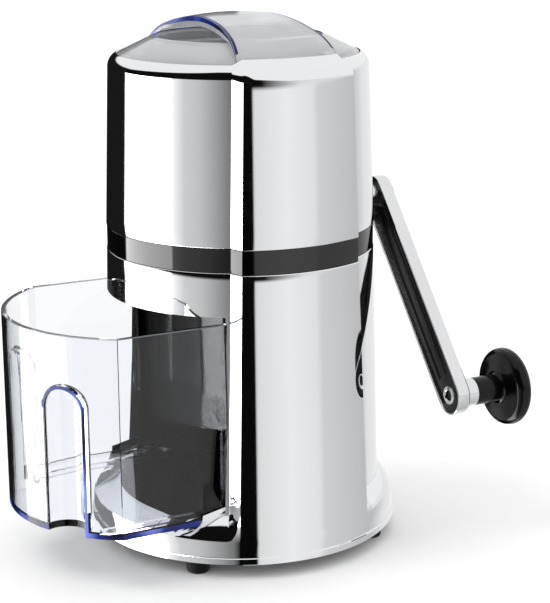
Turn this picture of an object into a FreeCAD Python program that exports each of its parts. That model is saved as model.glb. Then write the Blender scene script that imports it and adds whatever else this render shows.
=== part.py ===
"""Hand-cranked ice crusher: chrome drum, clear ice tray, lift-off lid and crank.

Millimetres. +Z is up, the tray pulls out towards -Y, the crank is at +Y, and
the raised side panels are at +X and -X. The origin is on the body's axis, in
the plane of the feet.
"""
import FreeCAD, Part
import math
import os
import Sketcher

Vector = FreeCAD.Vector

# name, value (mm or degrees), meaning
SIZES = (
    ("foot_height", 7.7, "floor to the underside of the housing"),
    ("foot_radius", 6.8, "radius of a foot at its top"),
    ("foot_taper", 1.3, "how much smaller a foot is at the floor"),
    ("foot_circle", 68.5, "radius of the circle that the feet stand on"),
    ("foot_edge", 1.0, "rounding of a foot's edge on the floor"),
    ("stud_radius", 2.5, "radius of a foot's stud"),
    ("barb_width", 0.9, "how far a stud's barb stands out"),
    ("barb_height", 3.0, "height of that barb"),
    ("base_radius", 78.2, "radius of the lip at the housing's foot"),
    ("base_lip", 3.4, "height of that lip"),
    ("lip_step", 0.7, "how far the lip stands out"),
    ("drum_radius", 67.0, "radius of the drum at the band"),
    ("drum_foot_radius", 69.8, "radius of the drum where the base bead starts"),
    ("drum_top_radius", 64.3, "radius of the drum under the shoulder"),
    ("bead_top", 30.0, "height of the top of the base bead"),
    ("bead_arc", 15.5, "radius of the base bead's round"),
    ("bead_shoulder", 17.5, "height where the base bead's round begins"),
    ("panel_half_angle", 30.2, "half the angle that a side panel spans at its foot"),
    ("panel_wall_angle", 5.8, "angle from a panel's foot to its hollow"),
    ("panel_rise", 5.4, "how far a panel stands out at the band"),
    ("panel_top_rise", 5.6, "how far a panel stands out under the shoulder"),
    ("panel_bevel", 5.8, "width of the bevel along a panel's long edges"),
    ("panel_shoulder_reach", 5.76, "how far in a panel's shoulder runs"),
    ("panel_rim_drop", 0.4, "how far below the rim that shoulder ends"),
    ("wall", 2.4, "wall of the two chrome shells"),
    ("band_bottom", 149.7, "height of the band's lower edge"),
    ("band_height", 11.8, "height of the band"),
    ("band_inset", 0.25, "how far the band lies inside the shells' outline"),
    ("spigot_height", 4.0, "height of the band's spigots in the shells"),
    ("spigot_gap", 0.3, "clearance of the spigots"),
    ("spigot_wall", 2.2, "wall of the spigots"),
    ("upper_height", 77.5, "height of the upper shell's straight wall above the band"),
    ("shoulder_arc", 7.2, "radius of the top shoulder"),
    ("rim_rise", 7.0, "how far the shell's top rim lies above the straight wall"),
    ("panel_rim_rise", 2.6, "how far the panels' top lies above that rim"),
    ("rim_radius", 59.6, "radius of the lid's seat in the top"),
    ("seat_drop", 2.6, "how far below the rim the ledge that carries the lid lies"),
    ("seat_width", 3.6, "width of that ledge"),
    ("window_half_width", 58.4, "half the width of the tray's window"),
    ("window_top", 128.3, "height of the apron's lower edge"),
    ("window_corner", 12.0, "rounding of the window's lower corners"),
    ("sill_front", 19.8, "height of the sill at the front"),
    ("sill_back", 24.2, "height of the sill where the bay floor starts"),
    ("sill_depth", 13.2, "depth of the sloping sill"),
    ("sill_angle", 128.0, "angle that the sill spans"),
    ("window_angle", 150.0, "angle that the window's cutting ring spans"),
    ("floor_seat_radius", 61.6, "inner radius of the housing's seat for the bay floor"),
    ("seat_ring", 2.0, "thickness of the housing's inner seat rings"),
    ("plate_seat_radius", 72.4, "inner radius of the housing's seat for the base plate"),
    ("bay_radius", 62.1, "inner radius of the tray bay"),
    ("bay_wall", 1.8, "wall and floor of the tray bay"),
    ("bay_gap", 0.8, "clearance between the tray and the bay's walls"),
    ("tray_gap", 0.3, "clearance under the tray's runners"),
    ("tray_radius", 67.0, "radius of the tray's curved front"),
    ("tray_half_width", 57.5, "half the width of the tray"),
    ("tray_wall", 2.4, "wall of the tray"),
    ("tray_floor", 2.8, "floor of the tray"),
    ("tray_bottom", 26.9, "height of the underside of the tray"),
    ("tray_rim", 125.2, "height of the tray's rim"),
    ("tray_pull", 56.5, "how far the tray is pulled out"),
    ("runner_width", 3.0, "width of a runner under the tray"),
    ("runner_place", 44.0, "distance of the runners from the middle"),
    ("runner_front", 40.0, "how far the runners reach to the front"),
    ("runner_back", 38.0, "how far the runners reach to the back"),
    ("rib_front", 47.5, "how far the bay's guide ribs reach to the front"),
    ("rib_back", 40.0, "how far the guide ribs reach to the back"),
    ("bay_head_gap", 0.5, "distance of the bay's top from the screw heads above it"),
    ("flute_angle", 34.0, "angle of each finger flute from the front"),
    ("flute_radius", 10.6, "radius of a finger flute"),
    ("flute_height", 61.5, "height of a flute up to its domed top"),
    ("shaft_rise", 5.5, "how far the crank shaft lies above the band"),
    ("shaft_radius", 4.0, "radius of the shaft's journals"),
    ("square_side", 6.4, "side of the squared shaft"),
    ("running_gap", 0.05, "radial clearance of a running fit"),
    ("chamber_half_width", 33.0, "half the inner width of the crushing chamber"),
    ("chamber_half_length", 40.0, "half the inner length of the chamber"),
    ("chamber_wall", 3.0, "wall of the chamber"),
    ("chamber_half_height", 36.0, "how far the chamber reaches above and below the shaft"),
    ("flange_thickness", 3.0, "thickness of the chamber's flange"),
    ("ledge_rise", 4.3, "how far the top of the band's inner ledge lies above its lower edge"),
    ("ledge_thickness", 3.0, "thickness of that ledge"),
    ("ledge_radius", 56.4, "inner radius of that ledge"),
    ("frame_screw_circle", 59.0, "radius of the circle of the chamber's screws"),
    ("hopper_drop", 7.4, "how far below the lid's seat the hopper's rim lies"),
    ("hopper_half_width", 51.0, "half the inner width of the hopper at its rim"),
    ("hopper_top_corner", 46.0, "corner radius of the hopper at its rim"),
    ("hopper_corner", 8.0, "corner radius of the hopper at the chamber"),
    ("hopper_wall", 2.2, "wall of the hopper"),
    ("blade_pitch", 16.0, "distance between rotor blades"),
    ("blade_thickness", 3.0, "thickness of a rotor blade"),
    ("blade_reach", 29.0, "radius of the blade tips"),
    ("blade_hub", 10.5, "radius of a blade's hub"),
    ("blade_twist", 24.0, "turn from one blade to the next"),
    ("spacer_radius", 7.5, "radius of the spacers on the shaft"),
    ("comb_thickness", 3.0, "thickness of a comb finger"),
    ("comb_plate", 2.0, "thickness of a comb's back plate"),
    ("comb_drop", 28.0, "how far below the shaft the foot of the combs lies"),
    ("comb_height", 21.0, "height of the combs"),
    ("comb_reach", 10.5, "distance of the finger tips from the middle"),
    ("comb_slope", 7.0, "how far the fingers slope down to their tips"),
    ("comb_tip", 6.0, "height of a finger's tip"),
    ("comb_tip_arc", 4.2, "radius of a finger's rounded tip"),
    ("bush_radius", 5.2, "outer radius of the shaft bushes"),
    ("bush_flange", 7.0, "radius of the bushes' flanges"),
    ("bush_flange_depth", 1.4, "thickness of the bushes' flanges"),
    ("bush_boss", 3.0, "how far the chamber's bush bosses stand out"),
    ("bush_stand", 0.2, "distance of the rear bush's flange from the drum"),
    ("end_play", 0.2, "play along a turning piece"),
    ("clip_thickness", 0.8, "thickness of the shaft's clip"),
    ("clip_reach", 2.2, "how far the clip stands out of the shaft"),
    ("groove_depth", 0.8, "depth of the clip's groove"),
    ("groove_width", 1.0, "width of the clip's groove"),
    ("shaft_nose", 2.5, "length of the shaft beyond the groove's middle"),
    ("arm_length", 116.5, "distance from the shaft to the knob's axle"),
    ("arm_width", 19.4, "width of the crank arm"),
    ("arm_depth", 7.5, "thickness of the crank arm"),
    ("arm_wall", 1.7, "wall of the crank arm's shell"),
    ("arm_rounding", 1.6, "rounding of the arm's outer edges"),
    ("arm_inner_face", 77.0, "distance of the arm's inner face from the axis"),
    ("arm_angle", 40.4, "angle of the arm from straight down"),
    ("hub_radius", 6.4, "radius of the arm's hub"),
    ("hub_thread", 12.0, "depth of the thread in the shaft's end"),
    ("hub_screw_head", 2.4, "height of the hub screw's head"),
    ("socket_radius", 1.9, "corner radius of the screws' six-sided sockets"),
    ("socket_depth", 1.4, "depth of those sockets"),
    ("insert_depth", 3.2, "thickness of the channel insert"),
    ("insert_gap", 0.1, "clearance of the channel insert"),
    ("insert_start", 1.5, "distance of the insert from the hub"),
    ("rib_height", 1.8, "height of the insert's long ribs"),
    ("rib_width", 1.2, "width of those ribs"),
    ("rib_place", 3.3, "distance of the ribs from the arm's middle"),
    ("rib_end", 9.0, "distance of the ribs' ends from the knob's axle"),
    ("nut_gap", 0.3, "clearance of the insert round the knob's nut"),
    ("washer_thickness", 0.9, "thickness of the washers"),
    ("washer_step", 0.7, "how much smaller the knob's washer is than its collar"),
    ("collar_length", 5.4, "length of the chrome collar"),
    ("stem_radius", 7.0, "radius of the knob's stem and the collar"),
    ("stem_length", 13.6, "length of the knob's stem"),
    ("knob_radius", 19.4, "radius of the knob"),
    ("knob_depth", 11.4, "thickness of the knob"),
    ("stem_flare", 2.4, "how far the stem flares where it meets the knob"),
    ("knob_round", 3.8, "rounding of the knob's rim"),
    ("knob_crown", 0.8, "how far the knob's face crowns"),
    ("knob_dish", 2.0, "depth of the hollow round the knob's stem"),
    ("head_recess", 1.2, "how far the axle's head lies below the knob's face"),
    ("head_gap", 0.4, "clearance of the axle's head in the knob"),
    ("axle_radius", 3.0, "radius of the knob's axle"),
    ("axle_head", 5.6, "radius of the axle's head"),
    ("axle_head_depth", 2.6, "thickness of the axle's head"),
    ("thread_radius", 2.4, "radius of the axle's threaded end"),
    ("nut_radius", 4.6, "radius of the knob nut's round flange"),
    ("nut_depth", 2.6, "thickness of the knob nut"),
    ("lid_gap", 0.4, "clearance of the lid in its seat"),
    ("lid_flange", 2.4, "thickness of the lid's flange"),
    ("lid_wall", 2.4, "wall of the lid"),
    ("lid_skirt_depth", 6.0, "depth of the lid's skirt below its flange"),
    ("dish_radius", 41.0, "radius of the finger dish"),
    ("dish_edge_rise", 11.2, "height of the dish's edge above the lid's seat"),
    ("dish_floor_rise", 0.2, "height of the dish's floor above that seat"),
    ("dish_bend", 4.0, "rounding between the dish's floor and wall"),
    ("strap_rise", 7.6, "how far the strap over the dish crowns above its knees"),
    ("strap_knee_radius", 45.0, "distance of the strap's knee from the axis"),
    ("strap_knee_rise", 13.8, "height of the strap's knees above the lid's seat"),
    ("strap_end_arc", 30.0, "radius of the strap's ends"),
    ("strap_half_width", 20.5, "half the width of the strap at its middle"),
    ("strap_end_half_width", 29.5, "half the width of the strap at the rim"),
    ("screw_radius", 1.5, "radius of the screws' shanks"),
    ("screw_head_radius", 3.0, "radius of the screws' heads"),
    ("screw_head_depth", 2.0, "height of the screws' heads"),
    ("slot_width", 0.8, "width of the screws' slots"),
    ("slot_length", 4.4, "length of those slots"),
    ("slot_depth", 1.0, "depth of those slots"),
    ("boss_radius", 4.4, "radius of the screw bosses"),
    ("lower_boss_depth", 7.0, "length of the housing bosses below the band"),
    ("upper_boss_depth", 16.0, "length of the housing bosses above the band"),
    ("boss_across", 65.4, "distance of the housing bosses from the middle plane"),
    ("boss_along", 15.0, "distance of the housing bosses from the shaft's cross plane"),
    ("plate_thickness", 3.0, "thickness of the base plate"),
    ("plate_gap", 0.3, "clearance of the base plate in the housing"),
    ("post_place", 34.0, "distance of the base posts from both middle planes"),
)

document = FreeCAD.newDocument("ice_crusher")
sheet = document.addObject("Spreadsheet::Sheet", "sizes")


class Size:
    """A length or an angle: its value, and the sheet formula that gives it."""

    def __init__(self, value, text):
        self.value = value
        self.text = text

    def __add__(self, other):
        other = as_size(other)
        return Size(self.value + other.value, f"({self.text} + {other.text})")

    def __sub__(self, other):
        other = as_size(other)
        return Size(self.value - other.value, f"({self.text} - {other.text})")

    def __mul__(self, other):
        other = as_size(other)
        return Size(self.value * other.value, f"({self.text} * {other.text})")

    def __truediv__(self, other):
        other = as_size(other)
        return Size(self.value / other.value, f"({self.text} / {other.text})")

    def __neg__(self):
        return Size(-self.value, f"(-1 * {self.text})")


def as_size(item):
    """Return a plain number as a Size, and a Size as it is."""
    return item if isinstance(item, Size) else Size(float(item), f"{float(item)}")


def sine(angle):
    """Sine of an angle in degrees."""
    angle = as_size(angle)
    return Size(math.sin(math.radians(angle.value)), f"sin({angle.text} * 1 deg)")


def cosine(angle):
    """Cosine of an angle in degrees."""
    angle = as_size(angle)
    return Size(math.cos(math.radians(angle.value)), f"cos({angle.text} * 1 deg)")


def fill_sheet():
    """Write the driving sizes into the sheet and return them by name."""
    sizes = {}
    for row, (name, value, meaning) in enumerate(SIZES, start=1):
        sheet.set(f"A{row}", name)
        sheet.set(f"B{row}", str(value))
        sheet.set(f"C{row}", meaning)
        sheet.setAlias(f"B{row}", name)
        sizes[name] = Size(value, f"sizes.{name}")
    document.recompute()
    return sizes


class Sizes:
    """The driving sizes as attributes, such as d.wall."""

    def __init__(self, table):
        self.__dict__.update(table)


d = Sizes(fill_sheet())
nodes = []


# ---------------------------------------------------------------- helpers
def bind(thing, name, size):
    """Bind one property of an object to a sheet formula."""
    size = as_size(size)
    thing.setExpression(name, size.text)


def keep(thing, label):
    """Label an object as a finished sub-part."""
    thing.Label = label
    nodes.append(thing)
    return thing


def place(thing, across=0, along=0, up=0, axis=None, angle=0):
    """Place an object, turned by an angle about an axis through its origin."""
    turn = FreeCAD.Rotation(axis or Vector(0, 0, 1), as_size(angle).value)
    thing.Placement = FreeCAD.Placement(Vector(0, 0, 0), turn)
    for name, size in (("x", across), ("y", along), ("z", up)):
        bind(thing, f"Placement.Base.{name}", size)
    if isinstance(angle, Size):
        bind(thing, "Placement.Rotation.Angle", angle)
    return thing


def primitive(kind, name, **sizes):
    """Make a Part primitive whose sizes follow the sheet."""
    thing = document.addObject(f"Part::{kind}", name)
    for key, size in sizes.items():
        bind(thing, key, size)
    return thing


def block(name, x_span, y_span, z_span):
    """Make a box between two values along each axis."""
    thing = primitive("Box", name, Length=x_span[1] - x_span[0],
                      Width=y_span[1] - y_span[0], Height=z_span[1] - z_span[0])
    return place(thing, x_span[0], y_span[0], z_span[0])


def rod(name, radius, low, high, across=0, along=0):
    """Make an upright cylinder between two heights."""
    low = as_size(low)
    thing = primitive("Cylinder", name, Radius=radius, Height=high - low)
    return place(thing, across, along, low)


def cross_rod(name, radius, front, back, across=0, up=0):
    """Make a cylinder along Y between two distances from the axis."""
    front = as_size(front)
    thing = primitive("Cylinder", name, Radius=radius, Height=back - front)
    return place(thing, across, front, up, Vector(1, 0, 0), -90)


def cut(name, base, tool):
    """Cut one object from another."""
    thing = document.addObject("Part::Cut", name)
    thing.Base = base
    thing.Tool = tool
    return thing


def group(kind, name, shapes):
    """Join shapes with a many-input boolean: MultiFuse or MultiCommon."""
    thing = document.addObject(f"Part::{kind}", name)
    thing.Shapes = shapes
    return thing


def gather(name, shapes):
    """Hold identical loose pieces in one compound."""
    thing = document.addObject("Part::Compound", name)
    thing.Links = shapes
    return thing


def new_body(name):
    """Make a body; its features are added one by one."""
    return document.addObject("PartDesign::Body", name)


def origin_plane(body, role):
    """Return one origin plane of a body."""
    for feature in body.Origin.OriginFeatures:
        if feature.Role == role:
            return feature
    raise ValueError(role)


def new_sketch(body, name, role):
    """Attach an empty sketch to an origin plane of its body."""
    sketch = body.newObject("Sketcher::SketchObject", name)
    sketch.AttachmentSupport = (origin_plane(body, role), [""])
    sketch.MapMode = "FlatFace"
    return sketch


def pin(sketch, geometry, end, x, y):
    """Fix one point of a sketch at a sheet formula's place."""
    for kind, axis, size in (("DistanceX", -2, as_size(x)), ("DistanceY", -1, as_size(y))):
        if size.text == "0.0":
            sketch.addConstraint(Sketcher.Constraint("PointOnObject", geometry, end, axis))
            continue
        rule = sketch.addConstraint(Sketcher.Constraint(kind, -1, 1, geometry, end, size.value))
        bind(sketch, f"Constraints[{rule}]", size)


def arc_between(start, end, radius):
    """Return the short arc from start to end, its radius negative if it turns clockwise."""
    chord = end - start
    middle = (start + end) * 0.5
    reach = math.sqrt(max(radius * radius - chord.Length ** 2 / 4, 0.0))
    side = Vector(-chord.y, chord.x, 0).normalize()
    centre = middle + side * (reach if radius > 0 else -reach)
    first, last = (start, end) if radius > 0 else (end, start)
    angles = [math.atan2(point.y - centre.y, point.x - centre.x) for point in (first, last)]
    if angles[1] < angles[0]:
        angles[1] += 2 * math.pi
    circle = Part.Circle(centre, Vector(0, 0, 1), abs(radius))
    return Part.ArcOfCircle(circle, angles[0], angles[1])


def outline(body, name, role, points):
    """Draw a closed outline.

    Each point is (x, y), or (x, y, radius) where an arc of that radius runs on
    to the next point: positive turns left, negative turns right.
    """
    sketch = new_sketch(body, name, role)
    corners = [Vector(as_size(p[0]).value, as_size(p[1]).value, 0) for p in points]
    count = len(points)
    ends = []
    for index, point in enumerate(points):
        start, end = corners[index], corners[(index + 1) % count]
        if len(point) == 3:
            radius = as_size(point[2])
            sketch.addGeometry(arc_between(start, end, radius.value), False)
            size = radius if radius.value > 0 else -radius
            rule = sketch.addConstraint(Sketcher.Constraint("Radius", index, size.value))
            bind(sketch, f"Constraints[{rule}]", size)
            ends.append((1, 2) if radius.value > 0 else (2, 1))
        else:
            sketch.addGeometry(Part.LineSegment(start, end), False)
            ends.append((1, 2))
    for index in range(count):
        follower = (index + 1) % count
        sketch.addConstraint(Sketcher.Constraint(
            "Coincident", index, ends[index][1], follower, ends[follower][0]))
    for index, point in enumerate(points):
        pin(sketch, index, ends[index][0], point[0], point[1])
    return sketch


def circles(body, name, role, rings):
    """Draw circles, each (x, y, radius)."""
    sketch = new_sketch(body, name, role)
    for index, (x, y, radius) in enumerate(rings):
        radius = as_size(radius)
        centre = Vector(as_size(x).value, as_size(y).value, 0)
        sketch.addGeometry(Part.Circle(centre, Vector(0, 0, 1), radius.value), False)
        rule = sketch.addConstraint(Sketcher.Constraint("Radius", index, radius.value))
        bind(sketch, f"Constraints[{rule}]", radius)
        pin(sketch, index, 3, x, y)
    return sketch


def turn_profile(body, name, points, angle=None, role="XZ_Plane", axis="V_Axis", away=False):
    """Revolve an outline about a sketch axis; away=True takes material off."""
    sketch = outline(body, f"{name}_profile", role, points)
    kind = "PartDesign::Groove" if away else "PartDesign::Revolution"
    feature = body.newObject(kind, name)
    feature.Profile = sketch
    feature.ReferenceAxis = (sketch, [axis])
    feature.Angle = 360
    if angle is not None:
        feature.Midplane = True
        bind(feature, "Angle", angle)
    document.recompute()
    return feature


def extrude(body, name, sketch, length, away=False, both=False, backwards=False):
    """Pad a sketch, or pocket it with away=True."""
    feature = body.newObject("PartDesign::Pocket" if away else "PartDesign::Pad", name)
    feature.Profile = sketch
    feature.Midplane = both
    feature.Reversed = backwards
    bind(feature, "Length", length)
    document.recompute()
    return feature


def repeat_round(body, name, features, count, axis="Z_Axis"):
    """Repeat features evenly about an origin axis of the body."""
    pattern = body.newObject("PartDesign::PolarPattern", name)
    pattern.Originals = features
    pattern.Axis = (origin_plane(body, axis), [""])
    pattern.Angle = 360
    pattern.Occurrences = count
    body.Tip = pattern
    document.recompute()
    return pattern


def dress_edges(body, kind, name, base, size, choose):
    """Fillet or chamfer the edges of a feature that a test picks out."""
    edges = [f"Edge{number}" for number, edge in enumerate(base.Shape.Edges, start=1)
             if choose(edge)]
    feature = body.newObject(f"PartDesign::{kind}", name)
    feature.Base = (base, edges)
    bind(feature, "Radius" if kind == "Fillet" else "Size", size)
    body.Tip = feature
    document.recompute()
    return feature


def four_corners(across, along):
    """Return the four places at plus and minus two distances."""
    return [(x, y) for x in (across, -across) for y in (along, -along)]


# ---------------------------------------------------------------- derived sizes
band_top = d.band_bottom + d.band_height
lip_top = d.foot_height + d.base_lip
foot_ring = d.base_radius - d.lip_step
panel_radius = d.drum_radius + d.panel_rise
panel_top_radius = d.drum_top_radius + d.panel_top_rise
panel_angle = d.panel_half_angle * 2
panel_hollow_angle = panel_angle - d.panel_wall_angle * 2
inner_drum = d.drum_radius - d.wall
mouth_radius = d.rim_radius - d.seat_width
plate_top = d.foot_height + d.plate_thickness
bay_floor = d.sill_back - d.bay_wall
lower_boss_end = d.band_bottom - d.lower_boss_depth
spigot_low = d.band_bottom - d.spigot_height
band_inner = inner_drum - d.spigot_gap - d.spigot_wall
shaft_z = band_top + d.shaft_rise
shoulder_height = band_top + d.upper_height
rim_height = shoulder_height + d.rim_rise
panel_rim_height = rim_height + d.panel_rim_rise
seat_height = rim_height - d.seat_drop
hopper_top = seat_height - d.hopper_drop
ledge_height = d.band_bottom + d.ledge_rise
chamber_bottom = shaft_z - d.chamber_half_height
chamber_top = shaft_z + d.chamber_half_height
comb_low = shaft_z - d.comb_drop
comb_high = comb_low + d.comb_height
knee_height = seat_height + d.strap_knee_rise
strap_top = knee_height + d.strap_rise
bush_face = d.chamber_half_length + d.chamber_wall + d.bush_boss
clip_middle = -(bush_face + d.bush_flange_depth + d.end_play + d.clip_thickness / 2)
rear_flange = d.drum_radius + d.bush_stand + d.bush_flange_depth
hub_front = rear_flange + d.end_play + d.washer_thickness
crank_square = d.arm_inner_face - d.hub_radius
shaft_end = d.arm_inner_face + d.arm_depth - d.arm_wall


def side_edge(half_angle):
    """Return a test for the outer long edges of a wedge that spans plus and minus an angle."""
    def choose(edge):
        points = [vertex.Point for vertex in edge.Vertexes]
        turns = [abs(math.degrees(math.atan2(p.y, p.x))) for p in points if p.x > 1]
        on_side = len(turns) == len(points) and all(abs(t - half_angle.value) < 0.1 for t in turns)
        return on_side and abs(points[0].z - points[-1].z) > 0.5
    return choose


def panel_pair(name, points, angle, bevel=None):
    """Make a wedge about the axis on the +X side and its mirror image at -X."""
    right = new_body(f"{name}_right")
    wedge = turn_profile(right, f"{name}_turn", points, angle=angle)
    if bevel is not None:
        dress_edges(right, "Chamfer", f"{name}_bevel", wedge, bevel, side_edge(angle / 2))
    left = document.addObject("Part::Mirroring", f"{name}_left")
    left.Source = right
    left.Normal = Vector(1, 0, 0)
    return [right, left]


# ---------------------------------------------------------------- housing
def sloping_sill(name, angle, points):
    """Turn an outline about the axis by part of a circle, centred on the front (-Y)."""
    body = new_body(name)
    turn_profile(body, f"{name}_turn", points, angle=angle)
    return place(body, angle=-90)


def lower_housing():
    """Chrome lower shell: drum, side panels, base bead, sill and tray window."""
    drum = new_body("lower_drum")
    turn_profile(drum, "lower_drum_turn", [
        (0, d.foot_height), (d.base_radius, d.foot_height), (d.base_radius, lip_top),
        (foot_ring, lip_top), (foot_ring, d.bead_shoulder, d.bead_arc),
        (d.drum_foot_radius, d.bead_top), (d.drum_radius, d.band_bottom), (0, d.band_bottom)])
    panels = panel_pair("lower_panel", [
        (0, lip_top), (foot_ring, lip_top), (panel_radius, d.band_bottom), (0, d.band_bottom)],
        panel_angle, d.panel_bevel)
    hollow = new_body("lower_hollow")
    turn_profile(hollow, "lower_hollow_turn", [
        (0, d.foot_height), (foot_ring - d.wall, d.foot_height),
        (foot_ring - d.wall, d.bead_shoulder - d.wall),
        (d.drum_foot_radius - d.wall, d.bead_top), (inner_drum, d.band_bottom),
        (0, d.band_bottom)])
    panel_hollows = panel_pair("lower_panel_hollow", [
        (0, lip_top), (foot_ring - d.wall, lip_top), (panel_radius - d.wall, d.band_bottom),
        (0, d.band_bottom)], panel_hollow_angle)
    shell = cut("lower_shell", group("MultiFuse", "lower_outside", [drum] + panels),
                group("MultiFuse", "lower_inside", [hollow] + panel_hollows))

    slope = (d.sill_back - d.sill_front) / d.sill_depth
    outer = foot_ring - d.wall / 2
    inner = foot_ring - d.sill_depth
    strip = sloping_sill("sill_strip", d.sill_angle, [
        (inner, d.sill_back - d.wall), (outer, d.sill_front - d.wall),
        (outer, d.sill_front + slope * d.wall), (inner, d.sill_back)])
    seats = new_body("inner_seats")
    turn_profile(seats, "floor_seat", [
        (d.floor_seat_radius, bay_floor - d.seat_ring), (foot_ring - d.wall * 2,
                                                         bay_floor - d.seat_ring),
        (foot_ring - d.wall * 2, bay_floor), (d.floor_seat_radius, bay_floor)])
    plate_seat = new_body("plate_seat")
    turn_profile(plate_seat, "plate_seat_turn", [
        (d.plate_seat_radius, plate_top), (outer, plate_top), (outer, plate_top + d.seat_ring),
        (d.plate_seat_radius, plate_top + d.seat_ring)])
    places = four_corners(d.boss_across, d.boss_along)
    bosses = [rod(f"lower_boss_{n}", d.boss_radius, lower_boss_end, d.band_bottom, x, y)
              for n, (x, y) in enumerate(places, start=1)]
    solid = group("MultiFuse", "lower_solid", [shell, strip, seats, plate_seat] + bosses)

    far = foot_ring + d.sill_depth
    window = sloping_sill("window_ring", d.window_angle, [
        (0, d.sill_back), (inner, d.sill_back), (far, d.sill_front - slope * d.sill_depth),
        (far, d.window_top), (0, d.window_top)])
    frame = new_body("window_frame")
    lowest = d.sill_front - d.wall / 2
    half, corner = d.window_half_width, d.window_corner
    square = outline(frame, "window_outline", "XZ_Plane", [
        (corner - half, lowest), (half - corner, lowest, corner), (half, lowest + corner),
        (half, d.window_top), (-half, d.window_top), (-half, lowest + corner, corner)])
    extrude(frame, "window_depth", square, far)
    opening = group("MultiCommon", "window", [window, frame])
    holes = [rod(f"lower_hole_{n}", d.screw_radius, lower_boss_end - 1, d.band_bottom + 1, x, y)
             for n, (x, y) in enumerate(places, start=1)]
    tools = group("MultiFuse", "lower_tools", [opening] + holes)
    return keep(cut("lower_cut", solid, tools), "lower_housing")


def upper_housing():
    """Chrome upper shell: drum, panels that run over the shoulder, and the lid's seat."""
    drum = new_body("upper_drum")
    turn_profile(drum, "upper_drum_turn", [
        (0, band_top), (d.drum_radius, band_top),
        (d.drum_top_radius, shoulder_height, d.shoulder_arc),
        (d.rim_radius, rim_height), (0, rim_height)])
    panels = panel_pair("upper_panel", [
        (0, band_top), (panel_radius, band_top),
        (panel_top_radius, shoulder_height, d.shoulder_arc),
        (panel_top_radius - d.panel_shoulder_reach, rim_height - d.panel_rim_drop),
        (d.rim_radius, panel_rim_height), (0, panel_rim_height)],
        panel_angle, d.panel_bevel)
    under_top = seat_height - d.wall
    hollow = new_body("upper_hollow")
    turn_profile(hollow, "upper_hollow_turn", [
        (0, band_top), (inner_drum, band_top), (d.drum_top_radius - d.wall, shoulder_height),
        (mouth_radius + d.wall, under_top), (0, under_top)])
    panel_hollows = panel_pair("upper_panel_hollow", [
        (0, band_top), (panel_radius - d.wall, band_top),
        (panel_top_radius - d.wall, shoulder_height), (d.rim_radius, under_top),
        (0, under_top)], panel_hollow_angle)
    seat = new_body("lid_seat")
    turn_profile(seat, "lid_seat_turn", [
        (0, under_top - 1), (mouth_radius, under_top - 1), (mouth_radius, seat_height),
        (d.rim_radius, seat_height), (d.rim_radius, panel_rim_height + 1),
        (0, panel_rim_height + 1)])
    shell = cut("upper_shell", group("MultiFuse", "upper_outside", [drum] + panels),
                group("MultiFuse", "upper_inside", [hollow, seat] + panel_hollows))
    places = four_corners(d.boss_across, d.boss_along)
    boss_end = band_top + d.upper_boss_depth
    bosses = [rod(f"upper_boss_{n}", d.boss_radius, band_top, boss_end, x, y)
              for n, (x, y) in enumerate(places, start=1)]
    solid = group("MultiFuse", "upper_solid", [shell] + bosses)
    holes = [rod(f"upper_hole_{n}", d.screw_radius, band_top - 1, boss_end - 2, x, y)
             for n, (x, y) in enumerate(places, start=1)]
    bore = cross_rod("shaft_opening", d.bush_radius, inner_drum - d.boss_radius,
                     d.drum_radius + d.boss_radius, up=shaft_z)
    tools = group("MultiFuse", "upper_tools", holes + [bore])
    return keep(cut("upper_cut", solid, tools), "upper_housing")


def middle_band():
    """Dark ring between the shells, with spigots that centre both and a ledge inside."""
    outer = d.drum_radius - d.band_inset
    outer_panel = panel_radius - d.band_inset
    spigot = inner_drum - d.spigot_gap
    spigot_high = band_top + d.spigot_height
    ring = new_body("band_ring")
    turn_profile(ring, "band_ring_turn", [
        (0, spigot_low), (spigot, spigot_low), (spigot, d.band_bottom), (outer, d.band_bottom),
        (outer, band_top), (spigot, band_top), (spigot, spigot_high), (0, spigot_high)])
    panels = panel_pair("band_panel", [
        (0, d.band_bottom), (outer_panel, d.band_bottom), (outer_panel, band_top),
        (0, band_top)], panel_angle, d.panel_bevel)
    ledge_under = ledge_height - d.ledge_thickness
    hollow = new_body("band_hollow")
    turn_profile(hollow, "band_hollow_turn", [
        (0, spigot_low - 1), (band_inner, spigot_low - 1), (band_inner, ledge_under),
        (d.ledge_radius, ledge_under), (d.ledge_radius, ledge_height),
        (band_inner, ledge_height), (band_inner, spigot_high + 1), (0, spigot_high + 1)])
    tools = [hollow, cross_rod("band_shaft_way", d.bush_radius, band_inner - d.boss_radius,
                               outer - 1, up=shaft_z)]
    notch = d.boss_radius + d.spigot_gap
    for n, (x, y) in enumerate(four_corners(d.boss_across, d.boss_along), start=1):
        tools.append(rod(f"band_hole_{n}", d.screw_radius, spigot_low - 1, spigot_high + 1, x, y))
        tools.append(rod(f"low_notch_{n}", notch, spigot_low - 1, d.band_bottom, x, y))
        tools.append(rod(f"high_notch_{n}", notch, band_top, spigot_high + 1, x, y))
    tools += [rod(f"ledge_hole_{n}", d.screw_radius, ledge_under - 1, ledge_height + 1, x, y)
              for n, (x, y) in enumerate(frame_screw_places(), start=1)]
    return keep(cut("band_cut", group("MultiFuse", "band_solid", [ring] + panels),
                    group("MultiFuse", "band_tools", tools)), "middle_band")


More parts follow.
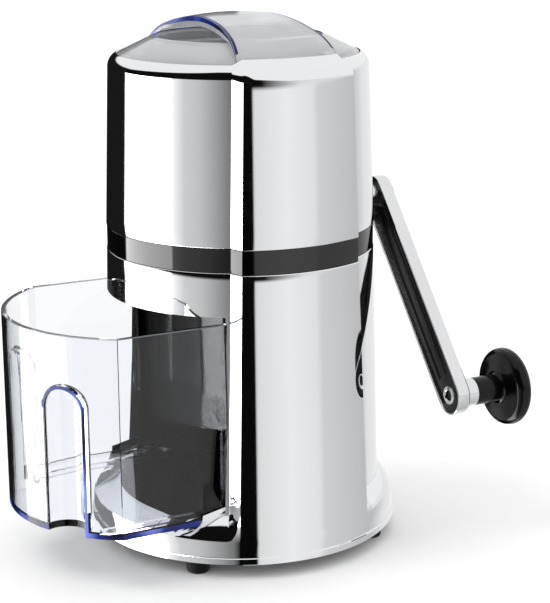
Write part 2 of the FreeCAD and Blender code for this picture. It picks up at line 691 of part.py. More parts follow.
def base_plate():
    """Round black plate that closes the housing from below and carries the feet."""
    body = new_body("plate")
    radius = foot_ring - d.wall - d.plate_gap
    turn_profile(body, "plate_disc", [
        (0, d.foot_height), (radius, d.foot_height), (radius, plate_top), (0, plate_top)])
    studs = [rod(f"stud_hole_{n}", d.stud_radius, d.foot_height - 1, plate_top + 1, x, y)
             for n, (x, y) in enumerate(foot_places(), start=1)]
    screws = [rod(f"plate_hole_{n}", d.screw_radius, d.foot_height - 1, plate_top + 1, x, y)
              for n, (x, y) in enumerate(four_corners(d.post_place, d.post_place), start=1)]
    return keep(cut("plate_cut", body, group("MultiFuse", "plate_tools", studs + screws)),
                "base_plate")


def foot_places():
    """Return where the four feet stand."""
    reach = d.foot_circle * math.sqrt(0.5)
    return four_corners(reach, reach)


def rubber_feet():
    """Four tapered rubber feet, each with a barbed stud through the base plate."""
    feet = []
    for number, (x, y) in enumerate(foot_places(), start=1):
        foot = new_body(f"foot_{number}")
        floor_radius = d.foot_radius - d.foot_taper
        turn_profile(foot, f"foot_turn_{number}", [
            (0, 0), (floor_radius - d.foot_edge, 0, d.foot_edge), (floor_radius, d.foot_edge),
            (d.foot_radius, d.foot_height), (d.stud_radius, d.foot_height),
            (d.stud_radius, plate_top), (d.stud_radius + d.barb_width, plate_top),
            (d.stud_radius - d.barb_width, plate_top + d.barb_height),
            (0, plate_top + d.barb_height)])
        feet.append(place(foot, x, y, 0))
    return keep(gather("feet", feet), "rubber_feet")


def tray_bay():
    """Black inner shell behind the window: floor, round wall, posts and guide ribs."""
    body = new_body("bay_shell")
    outer = d.bay_radius + d.bay_wall
    ceiling = lower_boss_end - d.screw_head_depth - d.bay_head_gap
    turn_profile(body, "bay_turn", [
        (0, bay_floor), (outer, bay_floor), (outer, ceiling),
        (d.bay_radius, ceiling), (d.bay_radius, d.sill_back), (0, d.sill_back)])
    places = four_corners(d.post_place, d.post_place)
    posts = [rod(f"post_{n}", d.boss_radius, plate_top, bay_floor + d.bay_wall / 2, x, y)
             for n, (x, y) in enumerate(places, start=1)]
    rib_inner = d.runner_place - d.runner_width / 2 - d.bay_gap
    rib_top = (d.sill_back + d.tray_bottom) / 2
    ribs = [block(f"guide_rib_{side}", (x, x + d.bay_wall), (-d.rib_front, d.rib_back),
                  (d.sill_back - d.bay_wall / 2, rib_top))
            for side, x in (("right", rib_inner - d.bay_wall), ("left", -rib_inner))]
    solid = group("MultiFuse", "bay_solid", [body] + posts + ribs)
    gap = d.tray_half_width + d.bay_gap
    mouth = cut("bay_mouth",
                block("mouth_block", (-gap, gap), (-outer - 1, as_size(0)),
                      (d.sill_back, ceiling + 1)),
                rod("mouth_core", d.bay_radius - 1, d.sill_back - 1, ceiling + 2))
    pilots = [rod(f"pilot_{n}", d.screw_radius, plate_top - 1, bay_floor, x, y)
              for n, (x, y) in enumerate(places, start=1)]
    return keep(cut("bay_cut", solid, group("MultiFuse", "bay_tools", [mouth] + pilots)),
                "tray_bay")


# ---------------------------------------------------------------- tray
def tray_outline_solid(name, shrink, low, high):
    """Return the tray's D-shaped plan as a solid: curved front, flat sides, round back."""
    back_radius = d.bay_radius - d.bay_gap - shrink
    side = d.tray_half_width - shrink
    front = rod(f"{name}_front", d.tray_radius - shrink, low, high)
    back = rod(f"{name}_back", back_radius, low, high)
    half = block(f"{name}_half", (-side, side), (-d.tray_radius - 1, as_size(0)), (low, high))
    rear = block(f"{name}_rear", (-side, side), (as_size(0), d.tray_radius), (low, high))
    return group("MultiFuse", name, [
        group("MultiCommon", f"{name}_fore", [front, half]),
        group("MultiCommon", f"{name}_aft", [back, rear])])


def flute_tools(name, radius, low):
    """Return the two finger flutes as upright cylinders with domed tops."""
    tools = []
    for side, sign in (("right", 1), ("left", -1)):
        x = sine(d.flute_angle) * d.tray_radius * sign
        y = -(cosine(d.flute_angle) * d.tray_radius)
        top = d.tray_bottom + d.flute_height
        tools.append(rod(f"{name}_{side}", radius, low, top, x, y))
        dome = primitive("Sphere", f"{name}_dome_{side}", Radius=radius)
        tools.append(place(dome, x, y, top))
    return group("MultiFuse", name, tools)


def ice_tray():
    """Clear tray with two finger flutes pressed into its curved front."""
    outer = cut("tray_outer", tray_outline_solid("tray_plan", as_size(0), d.tray_bottom,
                                                 d.tray_rim),
                flute_tools("flutes", d.flute_radius, d.tray_bottom - 1))
    floor_top = d.tray_bottom + d.tray_floor
    cavity = cut("tray_cavity", tray_outline_solid("cavity_plan", d.tray_wall, floor_top,
                                                   d.tray_rim + 1),
                 flute_tools("flute_backs", d.flute_radius + d.tray_wall, floor_top - 1))
    shell = cut("tray_shell", outer, cavity)
    runner_low = d.sill_back + d.tray_gap
    runners = []
    for side, sign in (("right", 1), ("left", -1)):
        middle = d.runner_place * sign
        span = (middle - d.runner_width / 2, middle + d.runner_width / 2)
        runners.append(block(f"runner_{side}", span, (-d.runner_front, d.runner_back),
                             (runner_low, d.tray_bottom)))
    tray = group("MultiFuse", "tray_fused", [shell] + runners)
    place(tray, along=-d.tray_pull)
    return keep(tray, "ice_tray")


# ---------------------------------------------------------------- crusher
def frame_screw_places():
    """Return where the screws hold the chamber's flange to the band's ledge."""
    reach = d.frame_screw_circle * math.sqrt(0.5)
    return four_corners(reach, reach)


def crushing_chamber():
    """Black trough round the rotor, with a round flange on the band's ledge."""
    x_in, y_in = d.chamber_half_width, d.chamber_half_length
    x_out, y_out = x_in + d.chamber_wall, y_in + d.chamber_wall
    trough = block("trough", (-x_out, x_out), (-y_out, y_out), (chamber_bottom, chamber_top))
    flange = rod("chamber_flange", band_inner - d.spigot_gap,
                 ledge_height, ledge_height + d.flange_thickness)
    front_boss = cross_rod("front_boss", d.bush_flange, -bush_face, -y_in, up=shaft_z)
    rear_boss = cross_rod("rear_boss", d.bush_flange, y_in, bush_face, up=shaft_z)
    solid = group("MultiFuse", "chamber_solid", [trough, flange, front_boss, rear_boss])
    inside = block("trough_inside", (-x_in, x_in), (-y_in, y_in),
                   (chamber_bottom - 1, chamber_top + 1))
    bore = cross_rod("chamber_bore", d.bush_radius, -bush_face - 1, bush_face + 1, up=shaft_z)
    flange_holes = [rod(f"flange_hole_{n}", d.screw_radius, ledge_height - 1,
                        ledge_height + d.flange_thickness + 1, x, y)
                    for n, (x, y) in enumerate(frame_screw_places(), start=1)]
    comb_holes = [side_rod(f"comb_way_{n}", d.screw_radius, x_in - 1, x_out + 1, y, sign)
                  for n, (y, sign) in enumerate(comb_screw_places(), start=1)]
    tools = group("MultiFuse", "chamber_tools", [inside, bore] + flange_holes + comb_holes)
    return keep(cut("chamber_cut", solid, tools), "crushing_chamber")


def side_rod(name, radius, near, far, along, sign):
    """Make a cylinder along X through one side wall, at the combs' screw height."""
    up = (comb_low + comb_high) / 2
    thing = primitive("Cylinder", name, Radius=radius, Height=far - near)
    start = near if sign > 0 else -far
    return place(thing, start, along, up, Vector(0, 1, 0), 90)


def comb_screw_spots():
    """Return how far along the shaft a comb's two screws are."""
    return (d.blade_pitch * 2, -(d.blade_pitch * 2))


def comb_screw_places():
    """Return the combs' screws as (distance along the shaft, side)."""
    return [(y, sign) for sign in (1, -1) for y in comb_screw_spots()]


def crushing_comb(side, sign):
    """Steel comb on one side wall: a back plate and four fingers between the blades."""
    body = new_body(f"comb_{side}")
    x_wall = d.chamber_half_width
    x_plate = x_wall - d.comb_plate
    tip_high = comb_high - d.comb_slope
    plate = outline(body, f"comb_plate_{side}", "XZ_Plane", [
        (x_plate, comb_low), (x_wall, comb_low), (x_wall, comb_high),
        (x_plate, comb_high)])
    extrude(body, f"comb_back_{side}", plate, (d.chamber_half_length - d.comb_plate) * 2,
            both=True)
    finger = outline(body, f"comb_finger_{side}", "XZ_Plane", [
        (x_wall - d.comb_plate / 2, comb_low + 1), (x_wall - d.comb_plate / 2, comb_high - 1),
        (d.comb_reach, tip_high, d.comb_tip_arc), (d.comb_reach, tip_high - d.comb_tip)])
    span = d.blade_pitch * 3
    bind(finger, "AttachmentOffset.Base.z", (span - d.comb_thickness) / 2)
    pad = extrude(body, f"comb_tooth_{side}", finger, d.comb_thickness)
    row = body.newObject("PartDesign::LinearPattern", f"comb_row_{side}")
    row.Originals = [pad]
    row.Direction = (origin_plane(body, "Y_Axis"), [""])
    bind(row, "Length", span)
    row.Occurrences = 4
    body.Tip = row
    holes = [side_rod(f"comb_hole_{side}_{n}", d.screw_radius, x_plate - 1, x_wall + 1, y, 1)
             for n, y in enumerate(comb_screw_spots(), start=1)]
    comb = cut(f"comb_cut_{side}", body, group("MultiFuse", f"comb_holes_{side}", holes))
    if sign < 0:
        place(comb, angle=180)
    return keep(comb, f"crushing_comb_{side}")


def hopper():
    """Funnel from the round mouth under the lid down to the chamber."""
    def ring(body, name, half_x, half_y, corner, height):
        x, y, r = half_x, half_y, corner
        sketch = outline(body, name, "XY_Plane", [
            (r - x, -y), (x - r, -y, r), (x, r - y), (x, y - r, r),
            (x - r, y), (r - x, y, r), (-x, y - r), (-x, r - y, r)])
        bind(sketch, "AttachmentOffset.Base.z", height)
        return sketch

    def funnel(name, grow, low, high):
        body = new_body(name)
        top = d.hopper_half_width + grow
        corner = d.hopper_top_corner + grow
        bottom = ring(body, f"{name}_low", d.chamber_half_width + grow,
                      d.chamber_half_length + grow, d.hopper_corner + grow, low)
        loft = body.newObject("PartDesign::AdditiveLoft", f"{name}_loft")
        loft.Profile = bottom
        loft.Sections = [ring(body, f"{name}_high", top, top, corner, high)]
        loft.Ruled = True
        document.recompute()
        return body

    outer = funnel("hopper_outer", d.hopper_wall, chamber_top, hopper_top)
    inner = funnel("hopper_inner", as_size(0), chamber_top - 0.01, hopper_top + 0.01)
    return keep(cut("hopper_cut", outer, inner), "hopper")


def drive_shaft():
    """Steel shaft along Y: round journals, squared middle and squared crank end."""
    journal_end = d.chamber_half_length - 1
    journals = [
        cross_rod("front_journal", d.shaft_radius, clip_middle - d.shaft_nose, -journal_end,
                  up=shaft_z),
        cross_rod("rear_journal", d.shaft_radius, journal_end, crank_square, up=shaft_z)]
    flats = [squared_rod("middle_square", -journal_end, journal_end),
             squared_rod("crank_square", crank_square, shaft_end)]
    solid = group("MultiFuse", "shaft_solid", journals + flats)
    groove_front = clip_middle - d.groove_width / 2
    groove_back = clip_middle + d.groove_width / 2
    groove = cut("clip_groove",
                 cross_rod("groove_outer", d.shaft_radius + 1, groove_front, groove_back,
                           up=shaft_z),
                 cross_rod("groove_inner", d.shaft_radius - d.groove_depth, groove_front,
                           groove_back, up=shaft_z))
    tapped = cross_rod("crank_thread", d.thread_radius, shaft_end - d.hub_thread, shaft_end + 1,
                       up=shaft_z)
    shaft = cut("shaft_cut", solid, group("MultiFuse", "shaft_tools", [groove, tapped]))
    return keep(shaft, "drive_shaft")


def squared_rod(name, front, back):
    """Make a length of the shaft with four flats."""
    half = d.square_side / 2
    bar = block(f"{name}_bar", (-half, half), (front, back), (shaft_z - half, shaft_z + half))
    turned = cross_rod(f"{name}_turned", d.shaft_radius, front, back, up=shaft_z)
    return group("MultiCommon", name, [bar, turned])


def shaft_clip():
    """Open spring clip in the groove at the shaft's front end."""
    front, back = clip_middle - d.clip_thickness / 2, clip_middle + d.clip_thickness / 2
    ring = cut("clip_ring",
               cross_rod("clip_outer", d.shaft_radius + d.clip_reach, front, back, up=shaft_z),
               cross_rod("clip_inner", d.shaft_radius - d.groove_depth, front - 1, back + 1,
                         up=shaft_z))
    mouth = block("clip_mouth", (-d.clip_reach, d.clip_reach), (front - 1, back + 1),
                  (shaft_z - d.shaft_radius * 2, shaft_z - 1))
    return keep(cut("clip_cut", ring, mouth), "shaft_clip")


def bush(name, front, back, flange_front, flange_back):
    """Flanged plastic bush round the shaft."""
    parts = [cross_rod(f"{name}_sleeve", d.bush_radius, front, back, up=shaft_z),
             cross_rod(f"{name}_rim", d.bush_flange, flange_front, flange_back, up=shaft_z)]
    solid = group("MultiFuse", f"{name}_solid", parts)
    bore = cross_rod(f"{name}_bore", d.shaft_radius + d.running_gap, front - 3, back + 3,
                     up=shaft_z)
    return keep(cut(f"{name}_cut", solid, bore), name)


def shaft_bushes():
    """Bushes in the chamber's front wall and from its rear wall through the shell."""
    flange = d.bush_flange_depth
    bush("front_bush", -bush_face - flange, -d.chamber_half_length, -bush_face - flange,
         -bush_face)
    bush("rear_bush", d.chamber_half_length, rear_flange, rear_flange - flange, rear_flange)


def thrust_washer():
    """Washer between the rear bush and the crank's hub."""
    front = rear_flange + d.end_play
    washer = cut("thrust_cut",
                 cross_rod("thrust_outer", d.bush_flange, front, hub_front, up=shaft_z),
                 cross_rod("thrust_inner", d.shaft_radius, front - 1, hub_front + 1, up=shaft_z))
    return keep(washer, "thrust_washer")


def rotor_blade(number):
    """Steel blade with three hooked teeth and a square hole for the shaft."""
    body = new_body(f"blade_{number}")
    hub = circles(body, f"blade_hub_{number}", "XZ_Plane", [(0, 0, d.blade_hub)])
    extrude(body, f"blade_disc_{number}", hub, d.blade_thickness, both=True)
    reach = d.blade_reach
    tooth = outline(body, f"tooth_{number}", "XZ_Plane", [
        (d.blade_hub * 0.2, d.blade_hub * 0.9), (-(d.blade_hub * 0.93), d.blade_hub * 0.3),
        (-(reach * 0.5), reach * 0.56, -reach), (-(reach * 0.17), reach * 0.98),
        (-(reach * 0.1), reach * 0.72, d.blade_hub * 2)])
    pad = extrude(body, f"tooth_pad_{number}", tooth, d.blade_thickness, both=True)
    repeat_round(body, f"teeth_{number}", [pad], 3, axis="Y_Axis")
    half = d.square_side / 2
    hole = outline(body, f"square_{number}", "XZ_Plane", [
        (-half, -half), (half, -half), (half, half), (-half, half)])
    turn = d.blade_twist * (number - 3)
    bind(hole, "AttachmentOffset.Rotation.Angle", turn)
    extrude(body, f"square_hole_{number}", hole, d.blade_thickness * 2, away=True, both=True)
    place(body, 0, d.blade_pitch * (number - 3), shaft_z, Vector(0, 1, 0), turn)
    return keep(body, f"rotor_blade_{number}")


def rotor_spacers():
    """Plastic spacers that keep the blades apart on the squared shaft."""
    spacers = []
    thick = d.blade_thickness / 2
    reach = d.chamber_half_length - 1
    spans = [(d.blade_pitch * n + thick, d.blade_pitch * (n + 1) - thick) for n in range(-2, 2)]
    spans.append((d.blade_pitch * 2 + thick, reach))
    spans.append((-reach, -(d.blade_pitch * 2 + thick)))
    for number, (front, back) in enumerate(spans, start=1):
        tube = cross_rod(f"spacer_tube_{number}", d.spacer_radius, front, back, up=shaft_z)
        hole = cross_rod(f"spacer_hole_{number}", d.shaft_radius, front - 1, back + 1,
                         up=shaft_z)
        spacers.append(cut(f"spacer_{number}", tube, hole))
    return keep(gather("spacers", spacers), "rotor_spacers")


# ---------------------------------------------------------------- crank
def on_arm(thing):
    """Place an object drawn with the arm hanging from the origin, shaft along Y."""
    return place(thing, 0, d.arm_inner_face, shaft_z, Vector(0, 1, 0), -d.arm_angle)


def slot_outline(body, name, radius, top=0):
    """Draw the arm's long outline: straight sides and two round ends."""
    foot = -d.arm_length
    return outline(body, name, "XZ_Plane", [
        (-radius, foot, radius), (0, foot - radius, radius), (radius, foot),
        (radius, top, radius), (0, radius + top, radius), (-radius, top)])


def crank_arm():
    """Chrome arm: a shell open towards the body, with a solid hub and a knob boss."""
    body = new_body("arm")
    half = d.arm_width / 2
    shell = extrude(body, "arm_pad", slot_outline(body, "arm_outline", half), d.arm_depth,
                    backwards=True)
    dress_edges(body, "Fillet", "arm_rounding", shell, d.arm_rounding, lambda edge: min(
        vertex.Point.y for vertex in edge.Vertexes) > d.arm_depth.value - 0.01)
    channel = slot_outline(body, "arm_channel", half - d.arm_wall)
    extrude(body, "arm_hollow", channel, d.arm_depth - d.arm_wall, away=True)
    hub = circles(body, "hub_circle", "XZ_Plane", [(0, 0, half - d.arm_wall / 2)])
    extrude(body, "hub_fill", hub, d.arm_depth - d.arm_wall / 2, backwards=True)
    boss = circles(body, "hub_boss_circle", "XZ_Plane", [(0, 0, d.hub_radius)])
    extrude(body, "hub_boss", boss, d.arm_inner_face - hub_front)
    knob_boss = circles(body, "knob_boss_circle", "XZ_Plane", [(0, -d.arm_length, d.nut_radius)])
    bind(knob_boss, "AttachmentOffset.Base.z", -d.nut_depth)
    extrude(body, "knob_boss", knob_boss, d.arm_depth - d.nut_depth - d.arm_wall / 2,
            backwards=True)
    on_arm(body)
    outside = d.arm_inner_face + d.arm_depth + 1
    bores = [
        cross_rod("hub_bore", d.shaft_radius, hub_front - 1, crank_square, up=shaft_z),
        squared_rod("hub_square", crank_square, shaft_end),
        cross_rod("hub_screw_bore", d.thread_radius, crank_square, outside, up=shaft_z),
        knob_rod("axle_bore", d.thread_radius, d.arm_inner_face - 1, outside)]
    return keep(cut("arm_cut", body, group("MultiFuse", "arm_bores", bores)), "crank_arm")


def knob_rod(name, radius, front, back):
    """Make a cylinder on the knob's axis."""
    x = sine(d.arm_angle) * d.arm_length
    z = shaft_z - cosine(d.arm_angle) * d.arm_length
    return cross_rod(name, radius, front, back, across=x, up=z)


def arm_insert():
    """Black insert in the arm's channel, with two long ribs."""
    body = new_body("insert")
    half = d.arm_width / 2 - d.arm_wall - d.insert_gap
    foot = -d.arm_length
    start = -(d.arm_width / 2 + d.insert_start)
    base = outline(body, "insert_outline", "XZ_Plane", [
        (-half, foot, half), (0, foot - half, half), (half, foot),
        (half, start), (-half, start)])
    deep = d.arm_depth - d.arm_wall
    bind(base, "AttachmentOffset.Base.z", -(deep - d.insert_depth))
    extrude(body, "insert_pad", base, d.insert_depth, backwards=True)
    for side, sign in (("right", 1), ("left", -1)):
        near = d.rib_place * sign - d.rib_width / 2
        far = near + d.rib_width
        rib = outline(body, f"rib_{side}", "XZ_Plane", [
            (near, foot + d.rib_end), (far, foot + d.rib_end), (far, start), (near, start)])
        bind(rib, "AttachmentOffset.Base.z", -(deep - d.insert_depth - d.rib_height))
        extrude(body, f"rib_pad_{side}", rib, d.rib_height + d.insert_depth / 2,
                backwards=True)
    window = circles(body, "nut_window", "XZ_Plane", [(0, foot, d.nut_radius + d.nut_gap)])
    extrude(body, "nut_space", window, d.arm_depth, away=True)
    on_arm(body)
    return keep(body, "arm_insert")


def hub_screw():
    """Screw that holds the crank on the shaft's end."""
    face = d.arm_inner_face + d.arm_depth
    head = face + d.hub_screw_head
    parts = [cross_rod("hub_screw_top", d.hub_radius - 1, face, head, up=shaft_z),
             cross_rod("hub_screw_shank", d.thread_radius, shaft_end - d.hub_thread + 1, face,
                       up=shaft_z)]
    solid = group("MultiFuse", "hub_screw_solid", parts)
    socket = hex_socket("hub_socket", head - d.socket_depth, head + 1, 0, shaft_z)
    return keep(cut("hub_screw_cut", solid, socket), "hub_screw")


def hex_socket(name, front, back, across, up):
    """Make the six-sided hole in a screw's head, along Y."""
    thing = primitive("Prism", name, Circumradius=d.socket_radius, Height=back - front)
    thing.Polygon = 6
    return place(thing, across, front, up, Vector(1, 0, 0), -90)


def knob_group():
    """Knob with its axle, washer, collar and nut."""
    face = d.arm_inner_face + d.arm_depth
    collar_front = face + d.washer_thickness
    collar_back = collar_front + d.collar_length
    washer = cut("knob_washer_cut",
                 knob_rod("knob_washer_outer", d.stem_radius - d.washer_step, face,
                          collar_front),
                 knob_rod("knob_washer_inner", d.axle_radius, face - 1, collar_front + 1))
    keep(washer, "knob_washer")
    collar = cut("knob_collar_cut",
                 knob_rod("collar_outer", d.stem_radius, collar_front, collar_back),
                 knob_rod("collar_inner", d.axle_radius, collar_front - 1, collar_back + 1))
    keep(collar, "knob_collar")

    start = collar_back + d.end_play
    neck = start + d.stem_length
    rim = neck + d.knob_depth
    head_seat = rim - d.axle_head_depth - d.head_recess
    bore = d.axle_radius + d.running_gap
    body = new_body("knob")
    shoulder = d.knob_radius - d.knob_round
    back_face = neck + d.knob_dish
    well = d.axle_head + d.head_gap
    turn_profile(body, "knob_turn", [
        (start, bore), (start, d.stem_radius), (neck, d.stem_radius, d.stem_flare),
        (neck + d.stem_flare / 2, d.stem_radius + d.stem_flare),
        (back_face, shoulder, -d.knob_round), (back_face + d.knob_round, d.knob_radius,
                                               -d.knob_round),
        (rim - d.knob_crown, shoulder), (rim, well), (head_seat, well), (head_seat, bore)],
        role="YZ_Plane", axis="H_Axis")
    x = sine(d.arm_angle) * d.arm_length
    z = shaft_z - cosine(d.arm_angle) * d.arm_length
    place(body, x, 0, z)
    keep(body, "crank_knob")

    shoulder_end = head_seat + d.end_play
    parts = [knob_rod("axle_shoulder", d.axle_radius, face, shoulder_end),
             knob_rod("axle_thread", d.thread_radius, d.arm_inner_face, face),
             knob_rod("axle_cap", d.axle_head, shoulder_end, shoulder_end + d.axle_head_depth)]
    solid = group("MultiFuse", "axle_solid", parts)
    head = shoulder_end + d.axle_head_depth
    socket = hex_socket("axle_socket", head - d.socket_depth, head + 1, x, z)
    keep(cut("axle_cut", solid, socket), "knob_axle")
    nut = cut("nut_cut",
              knob_rod("nut_body", d.nut_radius, d.arm_inner_face, d.arm_inner_face + d.nut_depth),
              knob_rod("nut_bore", d.thread_radius, d.arm_inner_face - 1,
                       d.arm_inner_face + d.nut_depth + 1))
    keep(nut, "knob_nut")


# ---------------------------------------------------------------- lid
def lid():
    """Clear lid: flange and skirt, coned rim, round finger dish and a strap over it."""
    body = new_body("lid_shape")
    radius = d.rim_radius - d.lid_gap
    wall = d.lid_wall
    flange_top = seat_height + d.lid_flange
    foot = flange_top - wall / 3
    strap_foot = foot + wall * 0.8
    knee, crest = d.strap_knee_radius, d.strap_rise
    arch = (knee * knee + crest * crest) / (crest * 2)
    turn_profile(body, "strap_turn", [
        (0, strap_top), (0, strap_top - wall),
        (knee - wall / 3, knee_height - wall, -(d.strap_end_arc - wall)),
        (radius - wall, foot), (radius, foot), (radius, strap_foot, d.strap_end_arc),
        (knee, knee_height, arch)])
    middle, end = d.strap_half_width, d.strap_end_half_width
    far = radius + 5
    waist = (far * far + (end - middle) * (end - middle)) / ((end - middle) * 2)
    for side, sign in (("front", -1), ("back", 1)):
        beyond = outline(body, f"strap_side_{side}", "XY_Plane", [
            (-far, end * sign, waist * sign), (far, end * sign), (far, far * sign),
            (-far, far * sign)])
        extrude(body, f"strap_cut_{side}", beyond, strap_top + 10, away=True, backwards=True)

    skirt = mouth_radius - d.lid_gap
    skirt_foot = seat_height - d.lid_skirt_depth
    edge, floor = seat_height + d.dish_edge_rise, seat_height + d.dish_floor_rise
    dish = d.dish_radius
    bend = d.dish_bend
    turn_profile(body, "lid_cone", [
        (0, floor), (0, floor - wall), (dish - bend, floor - wall, bend + wall),
        (dish + wall * 0.6, floor + bend), (dish + wall * 0.75, edge - wall * 1.25),
        (skirt - wall, flange_top - 1), (skirt - wall, skirt_foot), (skirt, skirt_foot),
        (skirt, seat_height), (radius, seat_height), (radius, flange_top), (dish, edge),
        (dish - 1, floor + bend, -bend), (dish - 1 - bend, floor)])
    return keep(body, "lid")


# ---------------------------------------------------------------- fasteners
def screw_set(label, places, head_low, shank_high):
    """Upright screws with their heads below: identical pieces in one sub-part."""
    screws = []
    for number, (x, y) in enumerate(places, start=1):
        head_top = head_low + d.screw_head_depth
        parts = [rod(f"{label}_head_{number}", d.screw_head_radius, head_low, head_top, x, y),
                 rod(f"{label}_shank_{number}", d.screw_radius, head_top, shank_high, x, y)]
        solid = group("MultiFuse", f"{label}_solid_{number}", parts)
        wide, long = d.slot_width / 2, d.slot_length / 2
        slot = block(f"{label}_slot_{number}", (x - wide, x + wide), (y - long, y + long),
                     (head_low - 1, head_low + d.slot_depth))
        screws.append(cut(f"{label}_{number}", solid, slot))
    return keep(gather(f"{label}_set", screws), label)


def fasteners():
    """All the screws that hold the static pieces together."""
    screw_set("housing_screws", four_corners(d.boss_across, d.boss_along),
              lower_boss_end - d.screw_head_depth, band_top + d.upper_boss_depth - 3)
    screw_set("base_screws", four_corners(d.post_place, d.post_place),
              d.foot_height - d.screw_head_depth, bay_floor - 1)
    flange_top = ledge_height + d.flange_thickness
    screws = []
    for number, (x, y) in enumerate(frame_screw_places(), start=1):
        screws.append(group("MultiFuse", f"frame_screw_{number}", [
            rod(f"frame_head_{number}", d.screw_head_radius, flange_top,
                flange_top + d.screw_head_depth, x, y),
            rod(f"frame_shank_{number}", d.screw_radius, ledge_height - d.ledge_thickness,
                flange_top, x, y)]))
    keep(gather("frame_screw_set", screws), "chamber_screws")
    x_in = d.chamber_half_width
    x_out = x_in + d.chamber_wall
    screws = []
    for number, (y, sign) in enumerate(comb_screw_places(), start=1):
        screws.append(group("MultiFuse", f"comb_screw_{number}", [
            side_rod(f"comb_head_{number}", d.screw_head_radius, x_out,
                     x_out + d.screw_head_depth, y, sign),
            side_rod(f"comb_shank_{number}", d.screw_radius, x_in - d.comb_plate, x_out, y,
                     sign)]))
    keep(gather("comb_screw_set", screws), "comb_screws")


# ---------------------------------------------------------------- build
def build():
    """Build every sub-part."""
    lower_housing()
    upper_housing()
    middle_band()
    base_plate()
    rubber_feet()
    tray_bay()
    ice_tray()
    crushing_chamber()
    crushing_comb("right", 1)
    crushing_comb("left", -1)
    hopper()
    drive_shaft()
    shaft_clip()
    shaft_bushes()
    thrust_washer()
    for number in range(1, 6):
        rotor_blade(number)
    rotor_spacers()
    crank_arm()
    arm_insert()
    hub_screw()
    knob_group()
    lid()
    fasteners()
    document.recompute()


def check_and_write():
    """Stop on any failed object, then write one STEP file per sub-part."""
    failed = [thing.Name for thing in document.Objects
              if "Invalid" in thing.State or "Error" in thing.State]
    if failed:
        raise RuntimeError(f"failed: {failed}")
    os.makedirs("parts", exist_ok=True)
    for node in nodes:
        shape = node.Shape
        if shape.isNull() or not shape.isValid() or not shape.Solids:
            raise RuntimeError(f"{node.Label} has no valid shape")
        shape.exportStep(f"parts/{node.Label}.step")
        box = shape.BoundBox
        print(f"{node.Label}: {len(shape.Solids)} solid(s), {shape.Volume:.0f} mm3, "
              f"x {box.XMin:.1f}..{box.XMax:.1f}, y {box.YMin:.1f}..{box.YMax:.1f}, "
              f"z {box.ZMin:.1f}..{box.ZMax:.1f}")


build()
check_and_write()
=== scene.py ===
"""Hand-cranked ice crusher: finishes, fine shapes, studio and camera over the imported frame.

Every class but the camera holds its sizes in millimetres, and its angles in degrees. A mesh
turns to metres when it is settled.
"""

import logging
import math
from collections.abc import Sequence
from dataclasses import dataclass, field
from enum import Enum, IntEnum

import bmesh
import bpy
from bmesh.types import BMEdge, BMesh, BMFace, BMVert
from bpy.types import Material, Node, NodeSocket, NodeTree, Object
from mathutils import Matrix, Vector
from mathutils.bvhtree import BVHTree


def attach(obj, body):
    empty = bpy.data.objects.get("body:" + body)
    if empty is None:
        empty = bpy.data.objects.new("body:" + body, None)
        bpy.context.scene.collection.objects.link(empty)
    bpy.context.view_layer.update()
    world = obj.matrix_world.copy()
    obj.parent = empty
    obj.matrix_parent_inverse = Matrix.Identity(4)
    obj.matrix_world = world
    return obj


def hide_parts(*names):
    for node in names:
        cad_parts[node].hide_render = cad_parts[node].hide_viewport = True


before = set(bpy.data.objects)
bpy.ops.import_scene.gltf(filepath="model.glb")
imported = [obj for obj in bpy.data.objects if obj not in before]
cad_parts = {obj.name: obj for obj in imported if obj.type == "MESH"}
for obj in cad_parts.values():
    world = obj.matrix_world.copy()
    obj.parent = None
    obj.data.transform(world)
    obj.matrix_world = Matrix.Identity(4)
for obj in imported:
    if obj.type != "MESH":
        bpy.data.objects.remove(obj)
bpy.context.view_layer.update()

MM = 0.001
# Corners of a CAD mesh closer than this many millimetres are one corner.
SAME_CORNER = 0.002
# Triangles that meet at less than this many degrees are one flat face.
SAME_PLANE = 0.01
# The scale of a finish's drift in tone, against the scale of its grain.
DRIFT = 0.06
# Most values of a noise pattern lie between these two.
NOISE_LOW, NOISE_HIGH = 0.3, 0.7

log = logging.getLogger("ice_crusher")

Point = tuple[float, float]


class Body(Enum):
    """The moving bodies that a piece can ride on."""

    HOUSING = "housing"
    CRANK = "crank"
    KNOB = "knob"
    TRAY = "tray"
    LID = "lid"


class Pattern(Enum):
    """What the maker's process leaves on a surface."""

    POLISHED = "polished"
    MOULDED = "moulded"
    BRUSHED = "brushed"
    TURNED = "turned"


class Zone(IntEnum):
    """The zones of a panelled wall, from the panel's middle to the drum's."""

    PANEL = 0
    BEVEL = 1
    DRUM = 2


class Clear(IntEnum):
    """The finishes of a clear moulding, in the order of its faces' material numbers."""

    WALL = 0
    # EDGE faces carry the tint with painted glow, and RIM faces carry painted shade.
    EDGE = 1
    RIM = 2


# ---------------------------------------------------------------- finishes
def linear(code: str) -> tuple[float, float, float, float]:
    """Turn an sRGB hex colour into a linear colour.

    Args:
        code: Six hex digits with a leading hash.

    Returns:
        Red, green, blue and an alpha of 1.
    """
    values = [int(code[at:at + 2], 16) / 255 for at in (1, 3, 5)]
    red, green, blue = (
        v / 12.92 if v <= 0.04045 else ((v + 0.055) / 1.055) ** 2.4 for v in values)
    return red, green, blue, 1.0


def add_node(tree: NodeTree, kind: str, inputs: dict | None = None, **settings: object) -> Node:
    """Add one node to a tree.

    Args:
        tree: The tree that gets the node.
        kind: The node's type.
        inputs: A value or a socket to link for each input, by name or number.
        settings: Properties of the node itself.

    Returns:
        The new node.
    """
    node = tree.nodes.new(kind)
    for key, value in settings.items():
        setattr(node, key, value)
    for key, value in (inputs or {}).items():
        if isinstance(value, NodeSocket):
            tree.links.new(value, node.inputs[key])
        else:
            node.inputs[key].default_value = value
    return node


